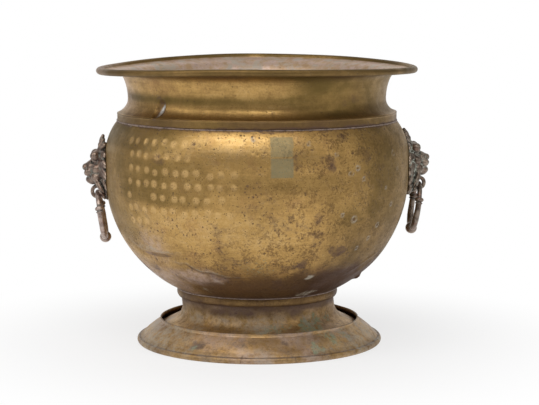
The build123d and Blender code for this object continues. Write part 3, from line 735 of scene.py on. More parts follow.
    # painted dark reflections, with real dullness: an olive band round the left of the belly, a fainter band at
    # 176 to 206 mm all round, and a darker left shoulder
    belly_dark_reflection = smoothstep(158, 172, height) * (1 - smoothstep(208, 226, height))
    dull = strongest(
        0.95 * belly_dark_reflection * (1 - smoothstep(-118, -98, azimuth)) * smoothstep(-178, -150, azimuth),
        smoothstep(-74, -44, azimuth + 7 * noise(p, 30, 74)) * (1 - smoothstep(60, 110, azimuth)),
        0.85 * turned.left_part(30, 62) * smoothstep(100, 130, height),
        1.15 * smoothstep(208, 226, height) * turned.left_part(52, 72), 0.16 + 0.16 * noise(p, 38, 75),
        0.45 * smoothstep(176, 186, height) * (1 - smoothstep(196, 206, height)))
    # painted reflections: two lighter bands round the left of the belly, about 112 to 166 mm and 206 to 242 mm up
    rub = strongest(
        0.55 * smoothstep(112, 135, height) * (1 - smoothstep(150, 166, height)) * turned.left_part(92, 114),
        0.7 * smoothstep(206, 222, height) * (1 - smoothstep(236, 242, height)) * turned.left_part(100, 120))
    patch = np.zeros_like(push)
    across = np.radians(angle_gap(azimuth, -80.6)) * turned.base_radius
    for low_edge, high_edge, lean, amount in ((219.4, 239.0, 0.0, 0.85), (198.5, 218.6, 0.25, 1.0)):
        inside_box = (np.abs(across + lean) < 11.6) & (height > low_edge) & (height < high_edge)
        patch = np.maximum(patch, inside_box * amount)
    pink = turned.spots((0.6, -121, 88, 26, 9, 0.5, 60, 0, 0.5), (0.4, -136, 120, 20, 16, 0.5, 61, 0, 0.7))
    pink = strongest(pink, 0.5 * turned.left_part(44, 56) * lower)
    dust = strongest(
        turned.spots((0.9, -64, 89, 5, 3, 0.7, 62, 30, 0.4), (0.9, -57.5, 66, 9, 3, 0.8, 63, 10, 0.4),
                     (0.7, -120, 72, 3, 2, 0.6, 64, 0, 0.4), (0.55, -141, 117, 16, 2.5, 0.5, 65, 0, 0.6)),
        0.95 * pit_edge, crest_paint, 0.5 * (noise(p, 5, 66) > 0.45) * seam * (noise(p, 30, 67) > 0))
    green = strongest(0.4 * turned.spot(-89, 104, 20, 12, 0.6, 68, 0, 0.6), 0.35 * pit_edge)
    spotty = 0.35 + 0.65 * turned.right_part(-100, -70) + 0.4 * (1 - smoothstep(110, 160, height))
    indoors = 1.0 - shown
    bowl_paint = {
        "mark": np.clip(0.85 * mark_colour, 0, 1) * shown,
        "spots": np.clip(spotty + 0.45 * noise(p, 45, 73), 0, 1) * shown,
        "tarnish": np.maximum(tarnish * shown, indoors * (0.75 + 0.3 * noise(p, 30, 70))),
        "red": np.clip(red * shown + indoors * 0.3, 0, 1),
        "dull": dull * shown, "rub": rub * shown, "patch": patch * shown,
        "pink": pink * shown + indoors * 0.35 * (noise(p, 40, 71) > 0),
        "dust": dust * shown,
        "green": green * shown + indoors * 0.25 * smoothstep(0.2, 0.6, noise(p, 24, 72)),
    }
    for name, value in bowl_paint.items():
        value = np.broadcast_to(value, push.shape)
        paint(bowl, **{name: np.concatenate([[value[0, 0]], value[1:-1].ravel(), [value[-1, 0]]])})


# ------------------------------------------------------------------ neck and rolled rim
def droop(radius, azimuth):
    """How far the flange has sunk: most towards the left and right, a little less than nothing at the back."""
    turn = np.radians(azimuth)
    left = np.clip(-np.cos(turn), 0, 1) ** 2
    out = smoothstep(148 - 6 * left, 173, radius)
    wave = 0.16 * np.sin(turn * 5 + 1.0) + 0.08 * np.sin(turn * 9 + 2.0)
    return out * (4.0 * np.cos(turn) ** 2 + 1.8 * left + 0.4 + wave - 1.6 * np.clip(np.sin(turn), 0, 1) ** 2)


def make_wire(name, centre, slide, sag=False):
    """The stiffening wire, bent the same way as the roll it lies in."""
    outline = arc_points(centre, BEAD - SHEET - 0.15, 0, 330, 1.0)
    turned = Turned(outline, 480, slide)
    if sag:
        turned.height = turned.height - droop(turned.radius, turned.azimuth)
    turned.skin(name + "_bent", IRON, "iron_wire", name)


def make_neck():
    skirt = node_box("shoulder_solder")[1][0] - 1.3
    skirt = round(skirt * 2) / 2
    throat, cove_radius, neck_arc, neck_turn, flare_arc, slope = skirt - 11.5, 14.4, 60.0, 21.0, 16.0, 15.0
    ridge = neck_low[2] + 8.2
    cove_x = throat + cove_radius
    cove_angle = 360 - math.degrees(math.acos((skirt - cove_x) / cove_radius))
    throat_z = ridge - cove_radius * math.sin(math.radians(cove_angle))
    long_centre = np.array((throat + neck_arc, throat_z))
    flare_start = arc_points(long_centre, neck_arc, 180 - neck_turn, 180 - neck_turn - 0.01)[0]
    flare = flare_start + flare_arc * direction(-neck_turn)
    bead = np.array((neck_high[0] - BEAD, neck_high[2] - BEAD))
    outside = joined(
        line_points((skirt, neck_low[2]), (skirt, ridge - 0.8), 1.0),
        [(skirt + 0.28, ridge - 0.3), (skirt + 0.1, ridge + 0.25)],
        arc_points((cove_x, throat_z), cove_radius, cove_angle - 2, 180, 1.2),
        arc_points(long_centre, neck_arc, 180, 180 - neck_turn, 1.6),
        arc_points(flare, flare_arc, 180 - neck_turn, 90 + slope, 1.0),
    )
    reach = BEAD - SHEET / 2
    flange_end = bead - reach * direction(35)
    outside = joined(outside, line_points(outside[-1], flange_end + (-1.2, -0.5), 1.4))
    roll = arc_points(bead, BEAD, 236, 360 + 178, 0.7)
    seam = [bead + (BEAD - 0.7) * direction(degrees) for degrees in (231, 235)]
    inner = inset(outside, SHEET)
    ridge_part = inner[:, 1] < ridge + 1
    inner[ridge_part, 0] = skirt - SHEET
    inside = inner[::-1]
    inside = inside[inside[:, 0] < bead[0] - BEAD - 0.4]
    keep = np.ones(len(inside), bool)
    keep[1::2] = inside[1::2, 1] > ridge
    outline = np.concatenate([outside, seam, roll, inside[keep]])
    turned = Turned(outline, 720)
    outwards = turned.sides(0, len(outside) + len(seam) + len(roll))
    p = turned.points()
    height, azimuth, radius = turned.base_height.copy(), turned.azimuth, turned.base_radius.copy()
    # hand-made unevenness, kept off the joint and the roll
    free = smoothstep(ridge + 3, ridge + 12, height) * (1 - smoothstep(166, 171, radius))
    push = free * (0.28 * noise(p, 45, 80) + 0.12 * noise(p, 16, 81))
    # the small torn dent, left of the front
    tear = turned.spot(-134.5, 264.5, 5.2, 8.2, 0.12, 82, -14, 0.45)
    lip = turned.spot(-134.5, 264.5, 6.6, 9.8, 0.12, 82, -14, 0.4) - tear
    push += -3.4 * tear + 0.55 * np.clip(lip, 0, 1)
    for lift, *place in ((-0.9, 60, 266, 12, 8, 0.2, 60, 0, 0.8), (-0.6, -20, 270, 9, 8, 0.2, 20, 0, 0.8),
                         (-0.8, 150, 272, 11, 9, 0.2, 150, 0, 0.8)):
        push += lift * turned.spot(*place)
    turned.push(push * outwards)
    # the flange droops towards the left and right
    turned.height = turned.height - droop(radius, azimuth)
    make_wire("rim_wire", bead, 0.0, True)
    neck = turned.skin("neck_skin", NECK_BRASS, "aged_brass", "neck")
    shown = outwards > 0
    indoors = np.broadcast_to(1.0 - shown, push.shape) * smoothstep(ridge, ridge + 5, height)
    row = np.arange(len(outline))[:, None]
    over_roll = row > len(outside) + len(seam) + int(0.62 * len(roll))
    uneven_band = np.clip(0.95 + 0.3 * noise(p, 60, 83), 0, 1) * shown
    # painted dark reflection: a darker band round the throat
    neck_dark_reflection = np.exp(-((height - (ridge + 18.5)) / 5.0) ** 2) * uneven_band
    low_edge = 1 - smoothstep(neck_low[2] + 0.5, neck_low[2] + 2.4, height + 1.4 * noise(p, 8, 85))
    stains = turned.stains(
        0.6, 0.5, (-42, 274, 14, 5, 0.5, 86), (-50, 270, 7, 4, 0.5, 87), (-104, 264, 6, 2, 0.45, 88),
        (-83, 260, 3, 4, 0.5, 89), (-134.5, 264, 8.5, 12, 0.8, 90), (40, 272, 14, 9, 0.7, 91),
        (120, 268, 18, 7, 0.7, 92))
    tarnish = strongest(0.18 * neck_dark_reflection * smoothstep(0.1, 0.6, noise(p, 40, 84) + 0.4),
                        0.85 * low_edge * shown, stains)
    # painted shade: darker and redder under the flange
    under_flange_shade = smoothstep(145, 155, radius) * shown * (row < len(outside))
    off_roll = np.abs(np.hypot(radius - bead[0], height - bead[1]) - BEAD)
    roll_rub = (1 - smoothstep(0, 3.6, off_roll)) * smoothstep(167, 169, radius)
    inner_pink = indoors * (1.0 + 0.2 * noise(p, 14, 93)) * (1 - over_roll * 0.2)
    left_pink = turned.left_part(12, 30) * smoothstep(ridge, ridge + 6, height)
    # painted dark reflection: darker round the right of the neck
    right_dull = turned.right_part(-84, -62) * smoothstep(ridge, ridge + 4, height)
    # painted highlight: a thin lighter line along the ridge; painted reflection: a lighter band on the flare
    ridge_highlight = np.exp(-((height - ridge) / 1.1) ** 2) * shown
    flare_reflection = np.exp(-((height - (ridge + 29)) / 5.0) ** 2) * shown
    neck_paint = {
        "tarnish": tarnish * shown + indoors * 0.4 * smoothstep(0.1, 0.55, layered(p, 16, 94)),
        "pink": np.clip(inner_pink, 0, 1) + 0.35 * shown * left_pink,
        "dust": indoors * 0.75 * smoothstep(-0.2, 0.4, noise(p * (1, 1, 0.3), 9, 95)),
        "green": indoors * 0.55 * smoothstep(0.35, 0.7, noise(p, 21, 96)),
        "red": np.clip(0.55 * under_flange_shade * (0.7 + noise(p, 30, 97)), 0, 1) + 0.25 * roll_rub,
        "spots": 0.35 * shown + 0.3 * shown * noise(p, 40, 99),
        "dull": 0.9 * under_flange_shade + 0.22 * shown + 1.25 * neck_dark_reflection + roll_rub
                + 0.12 * shown * (height < ridge - 1.2) + shown * right_dull,
        "rub": 0.2 * roll_rub + 0.9 * ridge_highlight + 0.4 * flare_reflection,
        "silver": turned.spot(-134.0, 262.5, 3.2, 5.4, 0.25, 98, -24, 0.3) * shown,
    }
    for name, value in neck_paint.items():
        paint(neck, **{name: np.clip(np.broadcast_to(value, push.shape), 0, 1.2)})


# ------------------------------------------------------------------ foot
FOOT_SLIDE = 2.3                # the foot stands this far over to the right


def make_spool():
    top, outer, cove_radius = spool_high[2], 84.0, 16.0
    cove = (outer + cove_radius, base_high[2] + 13.66)
    start = arc_points(cove, cove_radius, 245, 245.01)[0]
    run = (spool_high[0] - start[0]) / math.cos(math.radians(25))
    outside = joined(line_points((outer, top), (outer, cove[1]), 1.2),
                     arc_points(cove, cove_radius, 180, 245, 1.2),
                     line_points(start, start + run * direction(-25), 1.6))[::-1]
    inner = inset(outside, SHEET)
    inside = inner[::-1][::2]
    if len(inner) % 2 == 0:
        inside = np.concatenate([inside, inner[:1]])
    turned = Turned(np.concatenate([outside, inside]), 480, FOOT_SLIDE)
    outwards = turned.sides(0, len(outside))
    p = turned.points()
    height, radius = turned.base_height, turned.base_radius
    free = smoothstep(89, 96, radius) * (1 - smoothstep(112, 117, radius))
    free = np.maximum(free, 0.6 * (1 - smoothstep(top - 12, top - 9, height)) * (height > 30))
    turned.push(outwards * free * (0.32 * noise(p, 34, 110) + 0.14 * noise(p, 13, 111)))
    spool = turned.skin("spool_skin", FOOT_BRASS, "aged_brass", "foot_spool")
    shown = outwards > 0
    channel = smoothstep(99, 108, radius)
    stains = turned.stains(
        0.6, 0.6, (-118, 44, 14, 6, 0.8, 113), (-100, 45, 16, 5, 0.7, 114), (-60, 42, 12, 8, 0.6, 115),
        (30, 42, 16, 7, 0.7, 116), (120, 40, 14, 6, 0.7, 117))
    tarnish = strongest(0.75 * smoothstep(top - 15, top - 9, height + 3 * noise(p, 12, 112)),
                        0.9 * channel, stains)
    green = turned.stains(
        0.8, 0.6, (-55, 30, 13, 7, 1.0, 118), (-44, 32, 8, 8, 0.9, 119), (-80, 29, 17, 5, 0.75, 120),
        (-88, 27, 10, 4, 0.6, 121), (-96, 30, 9, 5, 0.45, 122), (-30, 34, 7, 6, 0.7, 123),
        (75, 30, 16, 6, 0.8, 124), (140, 31, 12, 6, 0.7, 125))
    dust = strongest(0.4 * channel * smoothstep(0, 0.5, noise(p, 9, 127)),
                     0.5 * smoothstep(-0.2, 0.5, noise(p, 17, 129)) * (1 - smoothstep(36, 44, height)))
    values = {
        "tarnish": np.clip(tarnish * shown + (1 - shown) * 0.8, 0, 1),
        "green": green * shown,
        "red": shown * 0.72 * smoothstep(38, 50, height + 4 * noise(p, 18, 126) + 2 * noise(p, 7, 131)),
        "spots": 0.7 * shown,
        "dull": 0.2 + 0.75 * smoothstep(34, 44, height) * (1 - 0.5 * turned.right_part(-75, -40)),
        "pink": shown * 0.3 * (0.6 + 0.6 * noise(p, 24, 128)),
        "dust": shown * dust,
        "rub": 0.5 * shown * smoothstep(88, 92, radius) * (1 - smoothstep(99, 104, radius)),
    }
    for name, value in values.items():
        paint(spool, **{name: np.broadcast_to(value, radius.shape)})


def make_collar():
    inner, outer = collar_high[0] - 4.57, collar_high[0]
    bottom, top = collar_low[2], collar_high[2] + 0.4
    middle = bottom + 5.0
    angle = np.radians(np.linspace(-54, 46, 18))
    bulge = np.stack([inner + 4.57 * np.cos(angle), middle + 6.2 * np.sin(angle)], -1)
    back = line_points((inner + 0.02, top - 1.6), (inner + 0.02, bottom + 0.1), 2.0)
    outline = np.concatenate([bulge, back])
    turned = Turned(outline, 480)
    p = turned.points()
    front = (np.arange(len(outline))[:, None] < len(bulge)).astype(float)
    turned.push(front * (0.14 * noise(p, 22, 130) + 0.06 * noise(p, 7, 131)))
    collar = turned.skin("foot_collar_skin", FOOT_BRASS, "aged_brass", "foot_collar")
    from_edge = np.minimum(np.abs(p[..., 2] - bottom), np.abs(top - p[..., 2]))
    edge = 1 - smoothstep(0.8, 2.2, from_edge + 0.7 * noise(p, 7, 132))
    on_right = (turned.azimuth > -75) & (turned.azimuth < 0)
    tarnish = strongest(0.8 * edge, 0.75 * smoothstep(0.15, 0.5, noise(p, 26, 133) + 0.25 * on_right))
    paint(collar, tarnish=tarnish, red=0.62 + 0.25 * noise(p, 30, 134), rub=0.35 * front * (1 - edge),
          dull=np.full_like(tarnish, 0.6), spots=np.full_like(tarnish, 0.7))


def make_base():
    lip, lip_top = 109.5, base_high[2]
    bead = np.array((base_high[0] - BEAD, BEAD - 0.3))
    slope_top = np.array((lip, lip_top - 3.2))
    run = math.dist(slope_top, bead)
    drop = math.atan2(bead[1] - slope_top[1], bead[0] - slope_top[0])
    slope = drop + math.asin((BEAD - SHEET / 2) / run)
    along = np.array((math.cos(slope), math.sin(slope)))
    across = np.array((-along[1], along[0]))
    slope_bottom = bead + (BEAD - SHEET / 2) * across
    length = math.dist(slope_top, slope_bottom)
    # a soft shoulder under the lip, a shallow hollow, then a scribed line above the roll
    s = np.linspace(0.0, 1.0, 20)[1:-2]
    rise = 0.9 * np.sin(np.pi * s) * (1 - s) - 0.35 * smoothstep(0.62, 0.95, s)
    slope_line = slope_top + s[:, None] * length * along + rise[:, None] * across
    groove = slope_bottom - 1.1 * along - 0.55 * across
    roll = arc_points(bead, BEAD, math.degrees(slope) + 90 + 12, -208, 0.7)
    roll[:, 1] = np.maximum(roll[:, 1], 0.0)
    outside = joined([(lip - 0.25, lip_top), (lip, lip_top - 0.3)],
                     line_points((lip, lip_top - 0.6), slope_top, 0.8),
                     slope_line, [groove + (-0.7, 0.35)], [groove], roll)
    inner_slope = np.linspace(slope_bottom - SHEET * across - 3.2 * along,
                              slope_top - SHEET * across + 0.9 * along, 9)
    inner_lip = [(lip - SHEET, lip_top - 3.4), (lip - SHEET, lip_top - 0.3), (lip - SHEET + 0.25, lip_top)]
    inside = np.concatenate([inner_slope, inner_lip])
    outline = np.concatenate([outside, inside])[::-1]
    turned = Turned(outline, 720, FOOT_SLIDE)
    outwards = turned.sides(len(inside), len(outline))
    p = turned.points()
    height, radius = turned.base_height, turned.base_radius
    on_slope = smoothstep(110.5, 114, radius) * (1 - smoothstep(124, 128, radius))
    push = on_slope * (0.4 * noise(p, 36, 140) + 0.2 * noise(p, 15, 141) + 0.06 * noise(p, 6, 142))
    push -= 0.9 * turned.spot(-123, 15, 9, 6, 0.3, 143, 20, 0.8) * on_slope
    push -= 0.7 * turned.spot(-72, 14, 18, 6, 0.3, 144, 0, 0.8) * on_slope
    # the split in the roll
    on_roll = smoothstep(127.5, 128.5, radius)
    gap = np.radians(angle_gap(turned.azimuth, -98.0)) * radius
    turned_roll = np.exp(-((gap - 0.25 * (height - 3)) / 0.75) ** 2)
    turned.push(outwards * push - on_roll * 0.75 * turned_roll * (height > 0.3))
    lip_part = smoothstep(lip_top - 3.5, lip_top - 1, height) * (radius < 112)
    turned.radius = turned.radius + lip_part * 0.5 * noise(p, 30, 145)
    turned.height = turned.height + lip_part * (0.35 * noise(p, 24, 146) - 0.35)
    make_wire("base_wire", bead, FOOT_SLIDE)
    base = turned.skin("base_skin", FOOT_BRASS, "aged_brass", "base_ring")
    shown = outwards > 0
    line = np.exp(-((radius - (bead[0] + 1.0)) / 1.1) ** 2) * (height > 4.4) * shown
    groove_dark = np.exp(-(np.hypot(radius - groove[0], height - groove[1]) / 1.9) ** 2)
    stains = turned.stains(
        0.7, 0.6, (-122, 14, 9, 5, 0.85, 147), (-100, 17, 15, 4, 0.5, 148), (-76, 18, 5, 3, 0.7, 149),
        (-66, 16, 22, 5, 0.5, 150), (-40, 17, 12, 7, 0.5, 151), (20, 16, 18, 6, 0.7, 152),
        (80, 15, 20, 6, 0.6, 153), (150, 16, 16, 6, 0.6, 154))
    tarnish = strongest(
        1.2 * groove_dark, turned_roll * on_roll, 0.75 * smoothstep(lip_top - 1.3, lip_top - 0.2, height),
        0.55 * (1 - smoothstep(0.5, 2.2, height)), stains)
    green = turned.stains(
        0.9, 0.7, (-48, 17, 6, 6, 1.0, 155), (-61, 13, 7, 6, 1.0, 156), (-38, 21, 8, 5, 0.8, 157),
        (-123, 12, 4, 3, 0.9, 158), (-52, 22, 9, 3, 0.7, 159), (60, 18, 9, 6, 0.8, 160),
        (165, 17, 8, 5, 0.8, 161))
    specks = (noise(p, 2.2, 162) > 0.5) * smoothstep(121, 125, radius) * (height > 6) * (noise(p, 30, 163) > -0.1)
    dust = (0.1 + 0.5 * specks + 0.5 * line * (noise(p, 12, 165) > -0.2) + 0.3 * turned.left_part(30, 60)
            + 0.2 * turned.right_part(-75, -45) + 0.3 * smoothstep(-0.3, 0.4, noise(p, 19, 168)))
    values = {
        "tarnish": tarnish * shown + (1 - shown) * 0.7,
        "green": green * shown,
        "rub": shown * (0.35 + 0.3 * noise(p, 28, 164)) * (1 - on_roll) + 0.6 * line,
        "dust": shown * dust,
        "pink": shown * (0.15 + 0.4 * smoothstep(0.0, 0.6, noise(p, 26, 166))),
        "spots": 0.7 * shown,
        "dull": 0.45 * on_roll,
        "red": 0.35 * shown * smoothstep(0.0, 0.5, noise(p, 20, 167)),
    }
    for name, value in values.items():
        paint(base, **{name: np.clip(np.broadcast_to(value, radius.shape), 0, 1)})


# ------------------------------------------------------------------ solder
def make_bead(name, centre, radius, uneven, slide=0.0):
    """An uneven bead of solder in a corner, which replaces the plain one."""
    angle = np.radians(np.arange(12) * 30.0)
    outline = np.stack([centre[0] + radius * np.cos(angle), centre[1] + radius * np.sin(angle)], -1)
    turned = Turned(outline, 600, slide)
    p = turned.points()
    seed = len(name) + int(centre[1])
    lumps = layered(p, 11.0, seed, 4) + 0.8 * noise(p, 40.0, seed + 9)
    turned.push(np.broadcast_to(uneven * lumps, turned.radius.shape))
    wander = noise(p.mean(0, keepdims=True), 19.0, seed + 3)
    turned.height = turned.height + 0.25 * uneven * wander
    turned.skin(name + "_run", SOLDER, "solder", name)


def make_solder():
    skirt = node_box("shoulder_solder")
    make_bead("shoulder_solder", (skirt[1][0] - 1.25, skirt[0][2] + 0.95), 0.8, 0.5)
    collar = node_box("collar_solder")
    make_bead("collar_solder", (collar[1][0] - 1.7, collar[1][2] - 1.05), 0.9, 0.4)
    foot = node_box("foot_solder")
    make_bead("foot_solder", (foot[1][0] - 0.6, foot[0][2] + 1.2), 1.5, 0.5)
    base = node_box("base_solder")
    make_bead("base_solder", (base[1][0] - 2.6, base[0][2] + 2.0), 1.6, 0.5, FOOT_SLIDE)


# ------------------------------------------------------------------ solids from distance fields
def soft_union(a, b, k):
    h = np.clip(0.5 + 0.5 * (b - a) / k, 0, 1)
    return b * (1 - h) + a * h - k * h * (1 - h)


def soft_cut(a, b, k):
    """a with b taken away."""
    return -soft_union(-a, b, k)


def ellipsoid(p, centre, radii, turn=None):
    q = p - np.array(centre, p.dtype)
    if turn is not None:
        axis, degrees = turn
        c, s = math.cos(math.radians(degrees)), math.sin(math.radians(degrees))
        i, j = {"x": (1, 2), "y": (2, 0), "z": (0, 1)}[axis]
        q = q.copy()
        q[..., i], q[..., j] = c * q[..., i] + s * q[..., j], -s * q[..., i] + c * q[..., j]
    q = q / np.array(radii, p.dtype)
    size = np.sqrt((q * q).sum(-1))
    return (size - 1) * min(radii) * (0.55 + 0.45 * np.minimum(size, 1.5))


def rod(p, a, b, ra, rb):
    """A rod with round ends whose radius runs from ra to rb."""
    a, b = np.array(a, p.dtype), np.array(b, p.dtype)
    along = b - a
    t = np.clip(((p - a) @ along) / max(float(along @ along), 1e-9), 0, 1)
    gap = p - a - t[..., None] * along
    return np.sqrt((gap * gap).sum(-1)) - (ra + (rb - ra) * t)


class Carving:
    """A distance field on a grid, built up piece by piece. Each call works only where the piece can matter."""

    def __init__(self, low, high, step):
        self.low, self.step = np.array(low, float), step
        axes = [np.arange(l, h + step, step) for l, h in zip(low, high)]
        self.p = np.stack(np.meshgrid(*axes, indexing="ij"), -1).astype(np.float32)
        self.value = np.full(self.p.shape[:3], 30.0, np.float32)

    def near(self, points, margin):
        points = np.array(points, float)
        lo = np.floor((points.min(0) - margin - self.low) / self.step).astype(int)
        hi = np.ceil((points.max(0) + margin - self.low) / self.step).astype(int) + 1
        lo = np.maximum(lo, 0)
        hi = np.minimum(hi, self.value.shape)
        return tuple(slice(int(a), int(b)) for a, b in zip(lo, hi))

    def blob(self, centre, radii, k=2.0, turn=None, cut=False):
        at = self.near([centre], max(radii) + 3 * k + 1)
        self.apply(at, ellipsoid(self.p[at], centre, radii, turn), k, cut)

    def stroke(self, path, radii, k=1.2, cut=False):
        """Rods along a path of points, as one stroke of a modelling tool."""
        at = self.near(path, max(radii) + 3 * k + 1)
        field = None
        for a, b, ra, rb in zip(path[:-1], path[1:], radii[:-1], radii[1:]):
            piece = rod(self.p[at], a, b, ra, rb)
            field = piece if field is None else np.minimum(field, piece)
        self.apply(at, field, k, cut)

    def apply(self, at, field, k, cut):
        if cut:
            self.value[at] = soft_cut(self.value[at], field, k)
        else:
            self.value[at] = soft_union(self.value[at], field, k)

    def mesh(self):
        """Points and quads of the surface where the field is zero, with one point in each cell it crosses."""
        v, shape = self.value, self.value.shape
        total = np.zeros(tuple(s - 1 for s in shape) + (3,), np.float32)
        count = np.zeros(tuple(s - 1 for s in shape), np.float32)
        index = np.indices(count.shape).astype(np.float32)
        for axis in range(3):
            others = [a for a in range(3) if a != axis]
            for u in (0, 1):
                for w in (0, 1):
                    lo = [slice(0, s - 1) for s in shape]
                    hi = [slice(0, s - 1) for s in shape]
                    for a, d in zip(others, (u, w)):
                        lo[a] = hi[a] = slice(d, shape[a] - 1 + d)
                    hi[axis] = slice(1, shape[axis])
                    a, b = v[tuple(lo)], v[tuple(hi)]
                    cross = (a < 0) != (b < 0)
                    t = np.where(cross, a / np.where(cross, a - b, 1), 0)
                    for k in range(3):
                        place = t if k == axis else float(dict(zip(others, (u, w)))[k])
                        total[..., k] += cross * place
                    count += cross
        active = count > 0
        number = np.full(count.shape, -1, np.int64)
        number[active] = np.arange(active.sum())
        within = total[active] / count[active][:, None]
        place = (np.moveaxis(index, 0, -1)[active] + within) * self.step + self.low
        quads = []
        for axis in range(3):
            others = [a for a in range(3) if a != axis]
            inner = [slice(1, s - 1) for s in shape]
            lo, hi = list(inner), list(inner)
            lo[axis], hi[axis] = slice(0, shape[axis] - 1), slice(1, shape[axis])
            a, b = v[tuple(lo)], v[tuple(hi)]
            for sign in (0, 1):
                hit = np.argwhere((a < 0) & (b >= 0) if sign == 0 else (a >= 0) & (b < 0))
                if not len(hit):
                    continue
                cell = hit.copy()
                for o in others:
                    cell[:, o] += 1
                corners = []
                for du, dw in ((1, 1), (0, 1), (0, 0), (1, 0)):
                    c = cell.copy()
                    c[:, others[0]] -= du
                    c[:, others[1]] -= dw
                    corners.append(number[c[:, 0], c[:, 1], c[:, 2]])
                quad = np.stack(corners, -1)
                flip = (sign == 1) != (axis == 1)
                quads.append(quad[:, ::-1] if flip else quad)
        return place, np.concatenate(quads)

    def sample(self, points):
        """The field at any points."""
        q = (points - self.low) / self.step
        q = np.clip(q, 0, np.array(self.value.shape) - 1.001)
        cell = np.floor(q).astype(int)
        f = q - cell
        total = 0
        for dx in (0, 1):
            for dy in (0, 1):
                for dz in (0, 1):
                    w = np.abs(1 - dx - f[:, 0]) * np.abs(1 - dy - f[:, 1]) * np.abs(1 - dz - f[:, 2])
                    total = total + w * self.value[cell[:, 0] + dx, cell[:, 1] + dy, cell[:, 2] + dz]
        return total


# ------------------------------------------------------------------ lion masks
PIVOT_OUT, PIVOT_DROP, LEAN = 10.7, 24.2, 9.0
TILT = {"left": 5.0, "right": -5.0}     # how far each mask leans out at its top
RING_R, RING_TOP, SHOULDERS, KNOB = 25.0, 2.7, 68.0, 6.4


def ring_thickness(turn):
    """The ring's radius at an angle from its top: thin in the eye, beaded at the shoulders, thick, a knob."""
    turn = np.abs(turn)
    thin = RING_TOP + 0.15 * np.cos(np.radians(turn) * 2)
    thick = 3.2 + 0.5 * smoothstep(80, 150, turn)
    body = thin + (thick - thin) * smoothstep(SHOULDERS - 4, SHOULDERS + 3, turn)
    along = (turn - SHOULDERS) * math.pi / 180 * RING_R
    bead = 5.0 * np.sqrt(np.clip(1 - (along / 2.5) ** 2, 0, 1)) ** 0.7
    small = 4.2 * np.sqrt(np.clip(1 - ((along - 3.9) / 1.3) ** 2, 0, 1)) ** 0.8
    to_knob = (180 - turn) * math.pi / 180 * RING_R
    knob = KNOB * np.sqrt(np.clip(1 - (to_knob / 6.9) ** 2, 0, 1)) ** 0.9
    collar = 4.7 * np.sqrt(np.clip(1 - ((to_knob - 7.2) / 1.1) ** 2, 0, 1)) ** 0.8
    return np.maximum(np.maximum(np.maximum(body, bead), np.maximum(small, collar)), knob)


